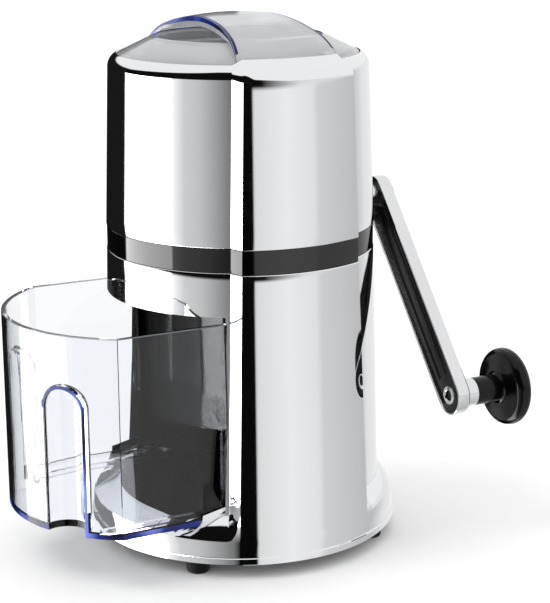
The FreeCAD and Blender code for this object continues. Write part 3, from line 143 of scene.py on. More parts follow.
@dataclass(frozen=True)
class Finish:
    """One finish: typical values of its stuff and the pattern of its making.

    The grain is the size of the pattern and the depth its relief, both in millimetres. The
    roughness strays by the spread to either side.
    """

    name: str
    colour: str
    second: str
    roughness: float
    spread: float
    grain: float
    depth: float
    pattern: Pattern = Pattern.MOULDED
    metallic: float = 0.0
    ior: float = 1.5
    clear: float = 0.0
    shine: float = 0.5

    @property
    def stretch(self) -> tuple[float, float, float]:
        """Give how the pattern is drawn out along each axis."""
        return {Pattern.BRUSHED: (1.0, 1.0, 0.02), Pattern.TURNED: (1.0, 0.03, 1.0)}.get(
            self.pattern, (1.0, 1.0, 1.0))

    def material(self) -> Material:
        """Build the material once, and hand out the same one afterwards."""
        return bpy.data.materials.get(self.name) or self.build()

    def build(self) -> Material:
        """Build the node tree.

        Returns:
            The material, with colour, roughness and relief from its own pattern.
        """
        material = bpy.data.materials.new(self.name)
        material.use_nodes = True
        tree = material.node_tree
        tree.nodes.clear()
        place = add_node(tree, "ShaderNodeTexCoord")
        drawn = add_node(tree, "ShaderNodeMapping",
                         {"Vector": place.outputs["Object"], "Scale": self.stretch})
        fine = add_node(tree, "ShaderNodeTexNoise", {
            "Vector": drawn.outputs[0], "Scale": 1 / (self.grain * MM), "Detail": 3.0})
        broad = add_node(tree, "ShaderNodeTexNoise", {
            "Vector": drawn.outputs[0], "Scale": DRIFT / (self.grain * MM), "Detail": 2.0})
        tone = add_node(tree, "ShaderNodeMix", {
            0: broad.outputs[0], 6: linear(self.colour), 7: linear(self.second)},
            data_type="RGBA")
        gloss = add_node(tree, "ShaderNodeMapRange", {
            "Value": fine.outputs[0], "From Min": NOISE_LOW, "From Max": NOISE_HIGH,
            "To Min": max(self.roughness - self.spread, 0.0),
            "To Max": self.roughness + self.spread})
        relief = add_node(tree, "ShaderNodeBump", {
            "Height": fine.outputs[0], "Strength": 1.0, "Distance": self.depth * MM})
        shader = add_node(tree, "ShaderNodeBsdfPrincipled", {
            "Base Color": tone.outputs[2], "Roughness": gloss.outputs[0],
            "Normal": relief.outputs[0], "Metallic": self.metallic, "IOR": self.ior,
            "Transmission Weight": self.clear, "Specular IOR Level": self.shine})
        add_node(tree, "ShaderNodeOutputMaterial", {"Surface": shader.outputs[0]})
        return material


@dataclass(frozen=True)
class EdgeTintAndPaintedGlow(Finish):
    """A clear moulding's cut edge, where the tint of its whole depth gathers, with pale patches of
    painted glow.

    The patch is the length in millimetres over which the tint and the painted glow change, and the
    stops are the places of its dark, middle and pale painted-glow tints in the noise.
    """

    # The pale colour is painted glow: light carried along the edge, painted in as colour.
    painted_glow: str = "#7F92F4"
    patch: float = 28.0
    stops: tuple[float, float, float] = (0.36, 0.5, 0.66)

    def build(self) -> Material:
        """Build the material.

        Returns:
            The finish with its tint running from dark to a pale painted glow in long patches.
        """
        material = super().build()
        tree = material.node_tree
        shader = next(n for n in tree.nodes if n.type == "BSDF_PRINCIPLED")
        place = next(n for n in tree.nodes if n.type == "TEX_COORD")
        patch = add_node(tree, "ShaderNodeTexNoise", {
            "Vector": place.outputs["Object"], "Scale": 1 / (self.patch * MM), "Detail": 1.0})
        ramp = add_node(tree, "ShaderNodeValToRGB", {"Fac": patch.outputs[0]})
        elements = ramp.color_ramp.elements
        # The ramp runs from the dark tint to the pale painted glow.
        dark, middle, pale = self.stops
        elements[0].position, elements[0].color = dark, linear(self.colour)
        elements[1].position, elements[1].color = pale, linear(self.painted_glow)
        elements.new(middle).color = linear(self.second)
        tree.links.new(ramp.outputs[0], shader.inputs["Base Color"])
        return material


# Nickel and chrome plate on polished steel: a mirror, with the faintest waviness of the
# pressed sheet, so that reflected edges stay crisp but never ruler-straight.
CHROME = Finish("polished_chrome_plate", "#F2F3F4", "#ECEDEF", 0.035, 0.015, 9.0, 0.0012,
                Pattern.POLISHED, metallic=1.0)
# The same plate on the die-cast crank: the skin under it is less flat, so reflections are
# a little softer.
CAST_CHROME = Finish("chrome_plated_die_casting", "#E9EAEB", "#DFE0E2", 0.13, 0.04, 1.6, 0.003,
                     Pattern.POLISHED, metallic=1.0)
# Piano-black ABS, moulded in a polished tool: deep black with clear, dim reflections.
BLACK_GLOSS = Finish("gloss_black_abs_moulding", "#020202", "#040405", 0.05, 0.02, 12.0, 0.001,
                     Pattern.POLISHED, ior=1.62)
# Black ABS from a fine-eroded tool: satin, with a faint pebble that breaks highlights up.
BLACK_SATIN = Finish("satin_black_abs_moulding", "#0A0A0B", "#101011", 0.3, 0.06, 0.9, 0.006,
                     shine=0.3)
# Phenolic-look knob: gloss black with a lazy flow to the surface.
KNOB_BLACK = Finish("gloss_black_bakelite", "#040404", "#070708", 0.16, 0.04, 4.0, 0.003,
                    Pattern.POLISHED, shine=0.26)
# Moulded nitrile rubber: dull, dusty black with a coarse matt skin.
RUBBER = Finish("moulded_nitrile_rubber", "#0B0B0C", "#121213", 0.72, 0.08, 0.7, 0.02,
                shine=0.15)
# Clear styrene-acrylonitrile: water-clear walls with a hint of blue and a moulded ripple.
CLEAR = Finish("clear_san_moulding", "#FDFEFF", "#F9FBFF", 0.012, 0.01, 14.0, 0.001,
               Pattern.POLISHED, ior=1.36, clear=1.0)
# The lid in the same plastic, rubbed by hands and washing: a milky, finely scuffed skin.
SCUFFED_CLEAR = Finish("scuffed_clear_san_moulding", "#F4F5F7", "#EAECEE", 0.09, 0.05, 2.2,
                       0.002, ior=1.4, clear=0.68)
# The same plastic looked into along its edge: a navy tint gathered over depth, running to a lilac
# painted glow of light carried along the edge.
CLEAR_EDGE = EdgeTintAndPaintedGlow("edge_of_clear_san_moulding", "#050A2C", "#1A2A78", 0.2, 0.05, 1.2,
                        0.002, shine=0.3)
# The rim of the same moulding, seen flat: a thin smoke-grey line of painted shade on the clear
# plastic.
CLEAR_RIM = Finish("rim_of_clear_san_moulding", "#9A9EA8", "#7E828C", 0.16, 0.05, 3.0, 0.002,
                   ior=1.49, clear=0.55)
# Talc-filled polypropylene of the inner shell: near-black and slightly cloudy.
BAY_BLACK = Finish("talc_filled_polypropylene", "#020202", "#040404", 0.75, 0.08, 2.4, 0.008,
                   shine=0.01)
# Light grey polypropylene of the funnel: soft, waxy sheen.
FUNNEL_GREY = Finish("waxy_grey_polypropylene", "#CFD1D4", "#C3C6CA", 0.34, 0.07, 3.0, 0.008)
# Acetal bushes: off-white, greasy-smooth.
ACETAL = Finish("turned_white_acetal", "#E6E4DC", "#DDDAD0", 0.28, 0.05, 0.6, 0.003,
                Pattern.TURNED)
# Black nylon washers: punched from sheet, satin.
NYLON = Finish("punched_black_nylon", "#161617", "#1D1D1F", 0.38, 0.06, 0.8, 0.004)
# Ground stainless blades: fine scratches along the grind that spread highlights across it.
GROUND_STEEL = Finish("ground_stainless_steel", "#C9CACB", "#B4B6B8", 0.26, 0.09, 0.35, 0.003,
                      Pattern.BRUSHED, metallic=1.0)
# Turned bright steel of shaft and screws: rings round the axis.
TURNED_STEEL = Finish("turned_bright_steel", "#CDCED0", "#BEC0C3", 0.22, 0.07, 0.4, 0.003,
                      Pattern.TURNED, metallic=1.0)
# Matt white paper of the studio's sweep: even, with hardly any tooth.
PAPER = Finish("matt_white_paper_sweep", "#F8F8F8", "#F5F5F5", 0.9, 0.04, 6.0, 0.01)


# ---------------------------------------------------------------- making pieces
def as_object(bm: BMesh, name: str) -> Object:
    """Turn a bmesh into an object at the origin.

    Args:
        bm: The shape, in metres, which is used up.
        name: The name of the object and of its mesh.

    Returns:
        The object.
    """
    mesh = bpy.data.meshes.new(name)
    bm.to_mesh(mesh)
    bm.free()
    made = bpy.data.objects.new(name, mesh)
    bpy.context.scene.collection.objects.link(made)
    return made


def settle(bm: BMesh, name: str, body: Body, finishes: Sequence[Finish], node: str,
           scale: float = MM, crease: float = 32.0) -> Object:
    """Turn a finished bmesh into a piece that rides on a body and stands for a CAD node.

    Args:
        bm: The shape, which is used up.
        name: The piece's name.
        body: The body that carries it.
        finishes: Its finishes, in the order of its faces' material numbers.
        node: The CAD node that it stands for.
        scale: What turns its lengths into metres.
        crease: The angle past which an edge stays sharp.

    Returns:
        The object.
    """
    bmesh.ops.scale(bm, vec=(scale, scale, scale), verts=bm.verts)
    limit = math.radians(crease)
    for face in bm.faces:
        face.smooth = True
    for edge in bm.edges:
        edge.smooth = edge.calc_face_angle(math.pi) < limit
    piece = as_object(bm, name)
    for finish in finishes:
        piece.data.materials.append(finish.material())
    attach(piece, body.value)
    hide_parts(node)
    log.info("%s: %d faces on %s", name, len(piece.data.polygons), body.value)
    return piece


def copy_node(node: str) -> BMesh:
    """Copy a CAD node's mesh, with its loose triangles joined into clean faces.

    Args:
        node: The CAD node.

    Returns:
        The joined shape, in metres.
    """
    bm = bmesh.new()
    source = bpy.data.objects[node]
    bm.from_mesh(source.data)
    bm.transform(source.matrix_world)
    bmesh.ops.remove_doubles(bm, verts=bm.verts, dist=SAME_CORNER * MM)
    bmesh.ops.dissolve_limit(bm, angle_limit=math.radians(SAME_PLANE), verts=bm.verts,
                             edges=bm.edges)
    return bm


def arc(start: Point, end: Point, radius: float, steps: int) -> list[Point]:
    """Give the points of an arc that bulges to the right of its run.

    Args:
        start: First point.
        end: Last point.
        radius: The arc's radius.
        steps: How many runs it is drawn with.

    Returns:
        The points, both ends included.
    """
    run, rise = end[0] - start[0], end[1] - start[1]
    chord = math.hypot(run, rise)
    side, up = rise / chord, -run / chord
    back = math.sqrt(max(radius * radius - chord * chord / 4, 0.0))
    centre = ((start[0] + end[0]) / 2 - side * back, (start[1] + end[1]) / 2 - up * back)
    first = math.atan2(start[1] - centre[1], start[0] - centre[0])
    last = math.atan2(end[1] - centre[1], end[0] - centre[0])
    return [(centre[0] + radius * math.cos(first + (last - first) * n / steps),
             centre[1] + radius * math.sin(first + (last - first) * n / steps))
            for n in range(steps + 1)]


def spaced(points: Sequence[Point], count: int) -> list[Point]:
    """Divide a line of points into equal steps.

    Args:
        points: The line.
        count: How many points are wanted.

    Returns:
        The points, evenly spaced along the line, both ends included.
    """
    lengths = [math.dist(a, b) for a, b in zip(points, points[1:])]
    slack = 1e-9
    result = []
    for n in range(count):
        left = sum(lengths) * n / (count - 1)
        for (a, b), length in zip(zip(points, points[1:]), lengths):
            if left <= length + slack:
                break
            left -= length
        share = min(left / length, 1.0)
        result.append((a[0] + (b[0] - a[0]) * share, a[1] + (b[1] - a[1]) * share))
    return result


def strip(bm: BMesh, near: Sequence[BMVert], far: Sequence[BMVert]) -> list[BMFace]:
    """Lay a row of four-sided faces between two lines of corners.

    Args:
        bm: The mesh that gets the faces.
        near: The first line.
        far: The second line, corner for corner.

    Returns:
        The new faces.
    """
    return [bm.faces.new((a, b, d, c)) for a, b, c, d in zip(near, near[1:], far, far[1:])]


def skin(bm: BMesh, lines: Sequence[Sequence[Vector]]) -> list[BMFace]:
    """Skin closed lines in order, and cap the first and the last.

    Args:
        bm: The mesh that gets the skin.
        lines: Lines with the same number of points.

    Returns:
        The new faces, which point outwards.
    """
    rings = [[bm.verts.new(point) for point in line] for line in lines]
    faces = [bm.faces.new(rings[0]), bm.faces.new(rings[-1])]
    for near, far in zip(rings, rings[1:]):
        faces += strip(bm, near + near[:1], far + far[:1])
    bmesh.ops.recalc_face_normals(bm, faces=faces)
    return faces


def slab(bm: BMesh, top: Sequence[Sequence[Vector]], low: Sequence[Sequence[Vector]]) -> None:
    """Close two sheets of points, one over the other, into a slab.

    Args:
        bm: The mesh that gets the slab.
        top: The upper sheet, row by row.
        low: The lower sheet, point for point.
    """
    sheets = [[[bm.verts.new(point) for point in row] for row in sheet] for sheet in (top, low)]
    faces = []
    for sheet in sheets:
        for near, far in zip(sheet, sheet[1:]):
            faces += strip(bm, near, far)
    upper, lower = sheets
    for end in (0, -1):
        faces += strip(bm, upper[end], lower[end])
        faces += strip(bm, [row[end] for row in upper], [row[end] for row in lower])
    bmesh.ops.recalc_face_normals(bm, faces=faces)


# ---------------------------------------------------------------- chrome body
@dataclass
class PanelledRing:
    """A ring wall whose outline steps out to a raised panel, bevelled along its edges, at ±X.

    A panel's half angle goes from its low to its high value over the height of the top. The
    runs are the zones' rough lengths, which place the narrow faces beside each edge.
    """

    panel_edge_low: float = 27.5
    panel_edge_high: float = 24.25
    bevel_angle: float = 4.5
    top: float = 246.0
    edge_width: float = 0.25
    panel_run: float = 31.0
    bevel_run: float = 6.0
    drum_run: float = 68.0
    across_panel: int = 14
    across_bevel: int = 3
    across_drum: int = 36

    def columns(self) -> list[tuple[int, int, Zone, float]]:
        """List the columns round the ring.

        Returns:
            Base angle, direction, zone and share of the zone, for each column.
        """
        near = self.edge_width
        quarter = [(Zone.PANEL, n / self.across_panel) for n in range(self.across_panel)]
        quarter += [(Zone.PANEL, 1 - near / self.panel_run),
                    (Zone.BEVEL, 0.0), (Zone.BEVEL, near / self.bevel_run)]
        quarter += [(Zone.BEVEL, n / self.across_bevel) for n in range(1, self.across_bevel)]
        quarter += [(Zone.BEVEL, 1 - near / self.bevel_run),
                    (Zone.DRUM, 0.0), (Zone.DRUM, near / self.drum_run)]
        quarter += [(Zone.DRUM, n / self.across_drum) for n in range(1, self.across_drum + 1)]
        result = []
        for base, direction in ((0, 1), (180, -1), (180, 1), (360, -1)):
            # Neighbouring quarters share a column, so each after the first leaves its own out.
            run = quarter[::direction][1 if result else 0:]
            result += [(base, direction, zone, share) for zone, share in run]
        return result[:-1]

    def angle(self, zone: Zone, share: float, height: float) -> float:
        """Give a column's angle from the panel's middle at a height.

        Args:
            zone: The column's zone.
            share: Its place within the zone, 0 to 1.
            height: The height.

        Returns:
            The angle.
        """
        taper = (self.panel_edge_high - self.panel_edge_low) * height / self.top
        edge = self.panel_edge_low + taper
        stops = (0.0, edge, edge + self.bevel_angle, 90.0)
        return stops[zone] + (stops[zone + 1] - stops[zone]) * share

    def point(self, column: tuple[int, int, Zone, float], drum: Point, panel: Point) -> Vector:
        """Give one point of the wall.

        Args:
            column: Base angle, direction, zone and share.
            drum: Its radius and height on the plain wall.
            panel: Its radius and height on a panel.

        Returns:
            The point.
        """
        base, direction, zone, share = column
        turn = math.radians(base + direction * self.angle(zone, share, drum[1]))
        out = (1.0, 1.0 - share, 0.0)[zone]
        radius, height = (d + (p - d) * out for d, p in zip(drum, panel))
        return Vector((radius * math.cos(turn), radius * math.sin(turn), height))

    def build(self, drum: Sequence[Point], panel: Sequence[Point]) -> BMesh:
        """Build the closed wall.

        Args:
            drum: The closed section of the plain wall, as radius and height.
            panel: The closed section through a panel, point for point with the drum's.

        Returns:
            The wall, in millimetres.
        """
        bm = bmesh.new()
        columns = self.columns()
        rings = [[bm.verts.new(self.point(column, plain, raised)) for column in columns]
                 for plain, raised in zip(drum, panel)]
        for near, far in zip(rings, rings[1:] + rings[:1]):
            strip(bm, near + near[:1], far + far[:1])
        bmesh.ops.recalc_face_normals(bm, faces=bm.faces)
        return bm


@dataclass
class LowerShell:
    """The chrome lower shell: lip, bead, panels, tray window and sloping sill.

    The cutter's rows stand at the back ones' depths, then at even steps from the near one,
    where the sill slopes, and last at the front one.
    """

    lip_radius: float = 78.2
    lip_low: float = 7.7
    lip_high: float = 11.1
    lip_low_round: float = 0.3
    lip_high_round: float = 0.25
    foot_radius: float = 77.5
    foot_out: float = 0.1
    foot_rise: float = 0.2
    foot_middle: float = 14.5
    bead_start: float = 17.5
    bead_arc: float = 15.5
    bead_top: float = 30.0
    bead_steps: int = 12
    waist_radius: float = 69.8
    wall_points: int = 14
    taper: float = 0.025
    top_radius: float = 67.0
    top: float = 149.7
    panel_top_radius: float = 72.4
    wall: float = 2.4
    inner_collar: float = 8.0
    inner_foot: float = 18.0
    inner_panel: float = 20.0
    edge: float = 0.5
    edge_steps: int = 4
    window_half: float = 58.4
    window_top: float = 128.3
    window_corner: float = 12.0
    corner_angle: int = 8
    window_steps: int = 24
    cut_back: tuple[float, ...] = (36.0, 45.0)
    cut_near: float = 50.0
    cut_step: float = 1.4
    cut_rows: int = 22
    cut_front: float = 92.0
    sill_front: float = 19.8
    sill_back: float = 24.2
    sill_start: float = 64.3
    sill_run_out: float = 1.3
    sill_inner: float = 61.0
    sill_gap: float = 0.6
    sill_margin: float = 3.0
    sill_drop: float = 0.02
    sill_depth: float = 1.6
    sill_rows: int = 8
    ring: PanelledRing = field(default_factory=PanelledRing)

    def panel_radius(self, height: float) -> float:
        """Give the panels' radius at a height."""
        share = (height - self.lip_high) / (self.top - self.lip_high)
        return self.foot_radius + (self.panel_top_radius - self.foot_radius) * share

    def sections(self) -> tuple[list[Point], list[Point]]:
        """Work out the two closed sections.

        Returns:
            The drum's section and the panel's, point for point.
        """
        lip, foot, e = self.lip_radius, self.foot_radius, self.edge
        bead = arc((foot, self.bead_start), (self.waist_radius, self.bead_top), self.bead_arc,
                   self.bead_steps)
        straight = spaced([bead[-1], (self.top_radius + e * self.taper, self.top - e)],
                          self.wall_points)
        outer = [(lip - self.lip_low_round, self.lip_low),
                 (lip, self.lip_low + self.lip_low_round),
                 (lip, self.lip_high - self.lip_high_round),
                 (lip - self.lip_high_round, self.lip_high),
                 (foot + self.foot_out, self.lip_high),
                 (foot, self.lip_high + self.foot_rise), (foot, self.foot_middle)]
        outer += bead + straight[1:]
        outer += arc((self.top_radius, self.top - e), (self.top_radius - e, self.top), e,
                     self.edge_steps)[1:]
        inner = [(radius - self.wall, height) for radius, height in (
            (self.top_radius, self.top), (self.top_radius, self.top - self.inner_collar),
            (self.waist_radius, self.bead_top), (foot, self.inner_foot), (foot, self.lip_low))]
        panel = []
        for radius, height in outer:
            rim = self.top_radius - radius if height > self.top - e else 0.0
            raised = self.panel_radius(height) - rim if height > self.lip_high else radius
            panel.append((max(radius, raised), height))
        for radius, height in inner:
            raised = self.panel_radius(height) - self.wall
            panel.append((max(radius, raised) if height > self.inner_panel else radius, height))
        return outer + inner, panel

    def sill_height(self, across: float, radius: float) -> float:
        """Give the height of the window's lower edge.

        Args:
            across: Distance from the middle plane.
            radius: Distance from the axis.

        Returns:
            The height, with the slope to the front and the rounded corners.
        """
        slope = (radius - self.sill_start) / (self.foot_radius - self.sill_start)
        share = min(max(slope, 0.0), self.sill_run_out)
        height = self.sill_back + (self.sill_front - self.sill_back) * share
        turn = min(max(abs(across) - (self.window_half - self.window_corner), 0.0),
                   self.window_corner)
        return height + self.window_corner - math.sqrt(self.window_corner ** 2 - turn ** 2)

    def stations(self) -> list[float]:
        """List places across the window, closer together in its rounded corners.

        Returns:
            The places, from one side of the window to the other.
        """
        reach, step = self.window_half, self.corner_angle
        flat = reach - self.window_corner
        corner = [flat + self.window_corner * math.sin(math.radians(angle))
                  for angle in range(step, 90, step)]
        middle = [-flat + 2 * flat * n / self.window_steps for n in range(self.window_steps + 1)]
        return [-reach] + [-c for c in reversed(corner)] + middle + corner + [reach]

    def cutter(self) -> Object:
        """Build the block that cuts the window out.

        Returns:
            A helper object, in metres.
        """
        depths = [self.cut_near + n * self.cut_step for n in range(self.cut_rows)]
        places = [[(x, -depth) for x in self.stations()]
                  for depth in (*self.cut_back, *depths, self.cut_front)]
        bm = bmesh.new()
        slab(bm, [[Vector((x, y, self.window_top)) * MM for x, y in row] for row in places],
             [[Vector((x, y, self.sill_height(x, math.hypot(x, y)))) * MM for x, y in row]
              for row in places])
        return as_object(bm, "window_cutter")

    def cut_window(self, bm: BMesh) -> BMesh:
        """Cut the window out of the wall.

        Args:
            bm: The closed wall, in millimetres, which is used up.

        Returns:
            The cut wall, in metres.
        """
        bmesh.ops.scale(bm, vec=(MM, MM, MM), verts=bm.verts)
        wall, block = as_object(bm, "uncut_shell"), self.cutter()
        tool = wall.modifiers.new("window", "BOOLEAN")
        tool.operation, tool.object, tool.solver = "DIFFERENCE", block, "EXACT"
        depsgraph = bpy.context.evaluated_depsgraph_get()
        cut = bpy.data.meshes.new_from_object(wall.evaluated_get(depsgraph))
        result = bmesh.new()
        result.from_mesh(cut)
        for helper in (wall, block):
            bpy.data.objects.remove(helper)
        bpy.data.meshes.remove(cut)
        return result

    def sill(self, bm: BMesh) -> None:
        """Add the sill: a folded strip behind the window's lower edge.

        Args:
            bm: The wall that gets the strip, in metres.
        """
        run = self.foot_radius - self.sill_gap - self.sill_inner
        rows = []
        for step in range(self.sill_rows + 1):
            radius = self.sill_inner + run * step / self.sill_rows
            row = []
            for x in self.stations():
                reach = max(radius, abs(x) + self.sill_margin)
                row.append(Vector((x, -math.sqrt(reach * reach - x * x),
                                   self.sill_height(x, radius) - self.sill_drop)))
            rows.append(row)
        down = Vector((0, 0, self.sill_depth))
        slab(bm, [[point * MM for point in row] for row in rows],
             [[(point - down) * MM for point in row] for row in rows])

    def make(self) -> Object:
        """Make the piece.

        Returns:
            The piece.
        """
        drum, panel = self.sections()
        bm = self.cut_window(self.ring.build(drum, panel))
        self.sill(bm)
        return settle(bm, "chrome_lower_shell", Body.HOUSING, [CHROME], "lower_housing",
                      scale=1.0, crease=24.0)


@dataclass
class UpperShell:
    """The chrome upper shell, with its rolled shoulder, panels and the lid's seat."""

    low: float = 161.5
    low_radius: float = 67.0
    shoulder: float = 239.0
    shoulder_radius: float = 64.3
    shoulder_arc: float = 7.2
    rim: float = 246.0
    rim_radius: float = 59.6
    rim_round: float = 0.3
    panel_low_radius: float = 72.4
    panel_shoulder_radius: float = 69.9
    panel_step: Point = (64.1, 245.6)
    panel_rim: float = 248.6
    panel_rim_round: float = 0.4
    seat: float = 243.4
    mouth: float = 56.0
    wall: float = 2.4
    inner_fall: float = 1.0
    edge: float = 0.5
    edge_steps: int = 4
    wall_points: int = 14
    bend_steps: int = 14
    rim_points: int = 26
    ring: PanelledRing = field(default_factory=PanelledRing)

    def outside(self, low: Point, shoulder: Point, rest: list[Point]) -> list[Point]:
        """Draw the outer line from the lower edge to the rim.

        Args:
            low: Foot of the wall.
            shoulder: Where the shoulder's arc starts.
            rest: Where the arc ends, and what follows it.

        Returns:
            The line, with the same number of points whatever its shape.
        """
        e = self.edge
        foot = arc((low[0] - e, low[1]), (low[0], low[1] + e), e, self.edge_steps)
        wall = spaced([foot[-1], shoulder], self.wall_points)
        bend = arc(shoulder, rest[0], self.shoulder_arc, self.bend_steps)
        return foot + wall[1:] + spaced(bend + rest[1:], self.rim_points)[1:]

    def make(self) -> Object:
        """Make the piece.

        Returns:
            The piece.
        """
        rim, bend, high = self.rim_radius, self.rim_round, self.panel_rim_round
        drum = self.outside((self.low_radius, self.low), (self.shoulder_radius, self.shoulder),
                            [(rim + bend, self.rim), (rim, self.rim - bend)])
        panel = self.outside(
            (self.panel_low_radius, self.low), (self.panel_shoulder_radius, self.shoulder),
            [self.panel_step, (rim + high, self.panel_rim), (rim, self.panel_rim - high)])
        seat = [(rim, self.seat), (self.mouth, self.seat), (self.mouth, self.seat - self.wall)]
        inside, raised = (
            [(upper - self.wall, self.shoulder - self.inner_fall), (lower - self.wall, self.low)]
            for upper, lower in ((self.shoulder_radius, self.low_radius),
                                 (self.panel_shoulder_radius, self.panel_low_radius)))
        bm = self.ring.build(drum + seat + inside, panel + seat + raised)
        return settle(bm, "chrome_upper_shell", Body.HOUSING, [CHROME], "upper_housing",
                      crease=24.0)


@dataclass
class MiddleBand:
    """The gloss black ring that parts the two shells."""

    low: float = 149.7
    high: float = 161.5
    radius: float = 66.75
    panel_radius: float = 72.15
    inner: float = 62.1
    edge: float = 0.3
    ring: PanelledRing = field(default_factory=PanelledRing)

    def section(self, out: float) -> list[Point]:
        """Give the closed section for an outer radius.

        Args:
            out: The outer radius.

        Returns:
            The section's radii and heights.
        """
        low, high, e = self.low, self.high, self.edge
        return [(out - e, low), (out, low + e), (out, (low + high) / 2), (out, high - e),
                (out - e, high), (self.inner, high), (self.inner, low)]

    def make(self) -> Object:
        """Make the piece.

        Returns:
            The piece.
        """
        bm = self.ring.build(self.section(self.radius), self.section(self.panel_radius))
        return settle(bm, "gloss_middle_band", Body.HOUSING, [BLACK_GLOSS], "middle_band",
                      crease=24.0)


# ---------------------------------------------------------------- clear mouldings
@dataclass
class ClearTray:
    """The clear catch tray: its walls, with lower edge and flute edges tinted and carrying painted
    glow, and its rim.

    The flutes lie past the zone's place across and in front of its place along.
    """

    low: float = 26.9
    rim: float = 125.2
    rim_edge: float = 0.45
    rim_slack: float = 0.06
    rim_angle: float = 28.0
    pull: float = 56.5
    wall_radius: float = 67.0
    wall_slack: float = 1.0
    side_wall: float = 57.0
    facing: float = 0.5
    flute_across: float = 37.47
    flute_along: float = -112.05
    flute_radius: float = 10.6
    flute_zone: Point = (12.0, -90.0)
    flute_cuts: int = 30
    arch_height: float = 88.4
    arch_step: float = 1.2
    arch_cuts: int = 12
    tint_glow_rise: float = 2.6
    tint_glow_width: float = 1.7

    @property
    def flute_turn(self) -> float:
        """Give a flute's place round the wall's axis, in radians from the front."""
        return math.atan2(self.flute_across, -(self.flute_along + self.pull))

    def off_arch(self, x: float, y: float, z: float) -> float:
        """Say how far a place on the outside lies from the nearer flute's outline.

        Args:
            x: Place across the tray.
            y: Place along it.
            z: Height.

        Returns:
            The distance from the outline, less than zero inside the flute.
        """
        turn = math.atan2(abs(x), -(y + self.pull)) - self.flute_turn
        rise = max(z - self.arch_height, 0.0)
        return math.hypot(turn * self.wall_radius, rise) - self.flute_radius

    def looks_out(self, face: BMFace) -> bool:
        """Say whether a face looks out from the front wall or a side wall.

        Args:
            face: The face.

        Returns:
            True where it does.
        """
        x, y, _ = face.calc_center_median() / MM
        y += self.pull
        ring = math.hypot(x, y)
        return (face.normal.x * x + face.normal.y * y) / ring > self.facing and (
            ring > self.wall_radius - self.wall_slack or abs(x) > self.side_wall)

    def cut_up(self, bm: BMesh) -> None:
        """Cut the walls up over the lower edge and round the flutes.

        Args:
            bm: The tray, in metres.
        """
        heights = [self.low + self.tint_glow_rise] + [
            self.arch_height + n * self.arch_step for n in range(self.arch_cuts)]
        for height in heights:
            bmesh.ops.bisect_plane(bm, geom=bm.verts[:] + bm.edges[:] + bm.faces[:],
                                   plane_co=(0, 0, height * MM), plane_no=(0, 0, 1))
        middle, near = self.flute_turn, self.flute_radius / self.wall_radius
        reach = (self.flute_radius + self.tint_glow_width) / self.wall_radius
        turns = [middle - reach + (2 * reach) * n / self.flute_cuts
                 for n in range(self.flute_cuts + 1)]
        across, along = (limit * MM for limit in self.flute_zone)
        for turn in turns + [middle + near, middle - near]:
            for side in (1, -1):
                plane = Vector((math.cos(turn) * side, math.sin(turn), 0))
                faces = [f for f in bm.faces if f.calc_center_median().x * side > across
                         and f.calc_center_median().y < along]
                edges = {e for f in faces for e in f.edges}
                verts = {v for f in faces for v in f.verts}
                bmesh.ops.bisect_plane(bm, geom=list(verts) + list(edges) + faces,
                                       plane_co=(0, -self.pull * MM, 0), plane_no=plane)
        bm.normal_update()

    def tint(self, bm: BMesh) -> None:
        """Give the bands along the lower edge and round the flutes the tint with painted glow.

        Args:
            bm: The tray, in metres, cut up along the bands.
        """
        for face in filter(self.looks_out, bm.faces):
            x, y, z = face.calc_center_median() / MM
            outer = abs(x) > self.flute_across or z > self.arch_height
            if z < self.low + self.tint_glow_rise or (
                    outer and 0 < self.off_arch(x, y, z) < self.tint_glow_width):
                face.material_index = Clear.EDGE

    def make(self) -> Object:
        """Make the piece.

        Returns:
            The piece.
        """
        bm = copy_node("ice_tray")
        rims = [e for e in bm.edges if e.calc_face_angle(0.0) > math.radians(self.rim_angle)
                and all(abs(v.co.z / MM - self.rim) < self.rim_slack for v in e.verts)]
        # The rim's bevel gets painted shade: a thin smoke-grey line on the clear plastic.
        bmesh.ops.bevel(bm, geom=rims, offset=self.rim_edge * MM, segments=1, profile=0.5,
                        affect="EDGES", material=Clear.RIM)
        self.cut_up(bm)
        # The bands get the edge finish: tint with painted glow.
        self.tint(bm)
        return settle(bm, "clear_catch_tray", Body.TRAY, [CLEAR, CLEAR_EDGE, CLEAR_RIM],
                      "ice_tray", scale=1.0, crease=30.0)


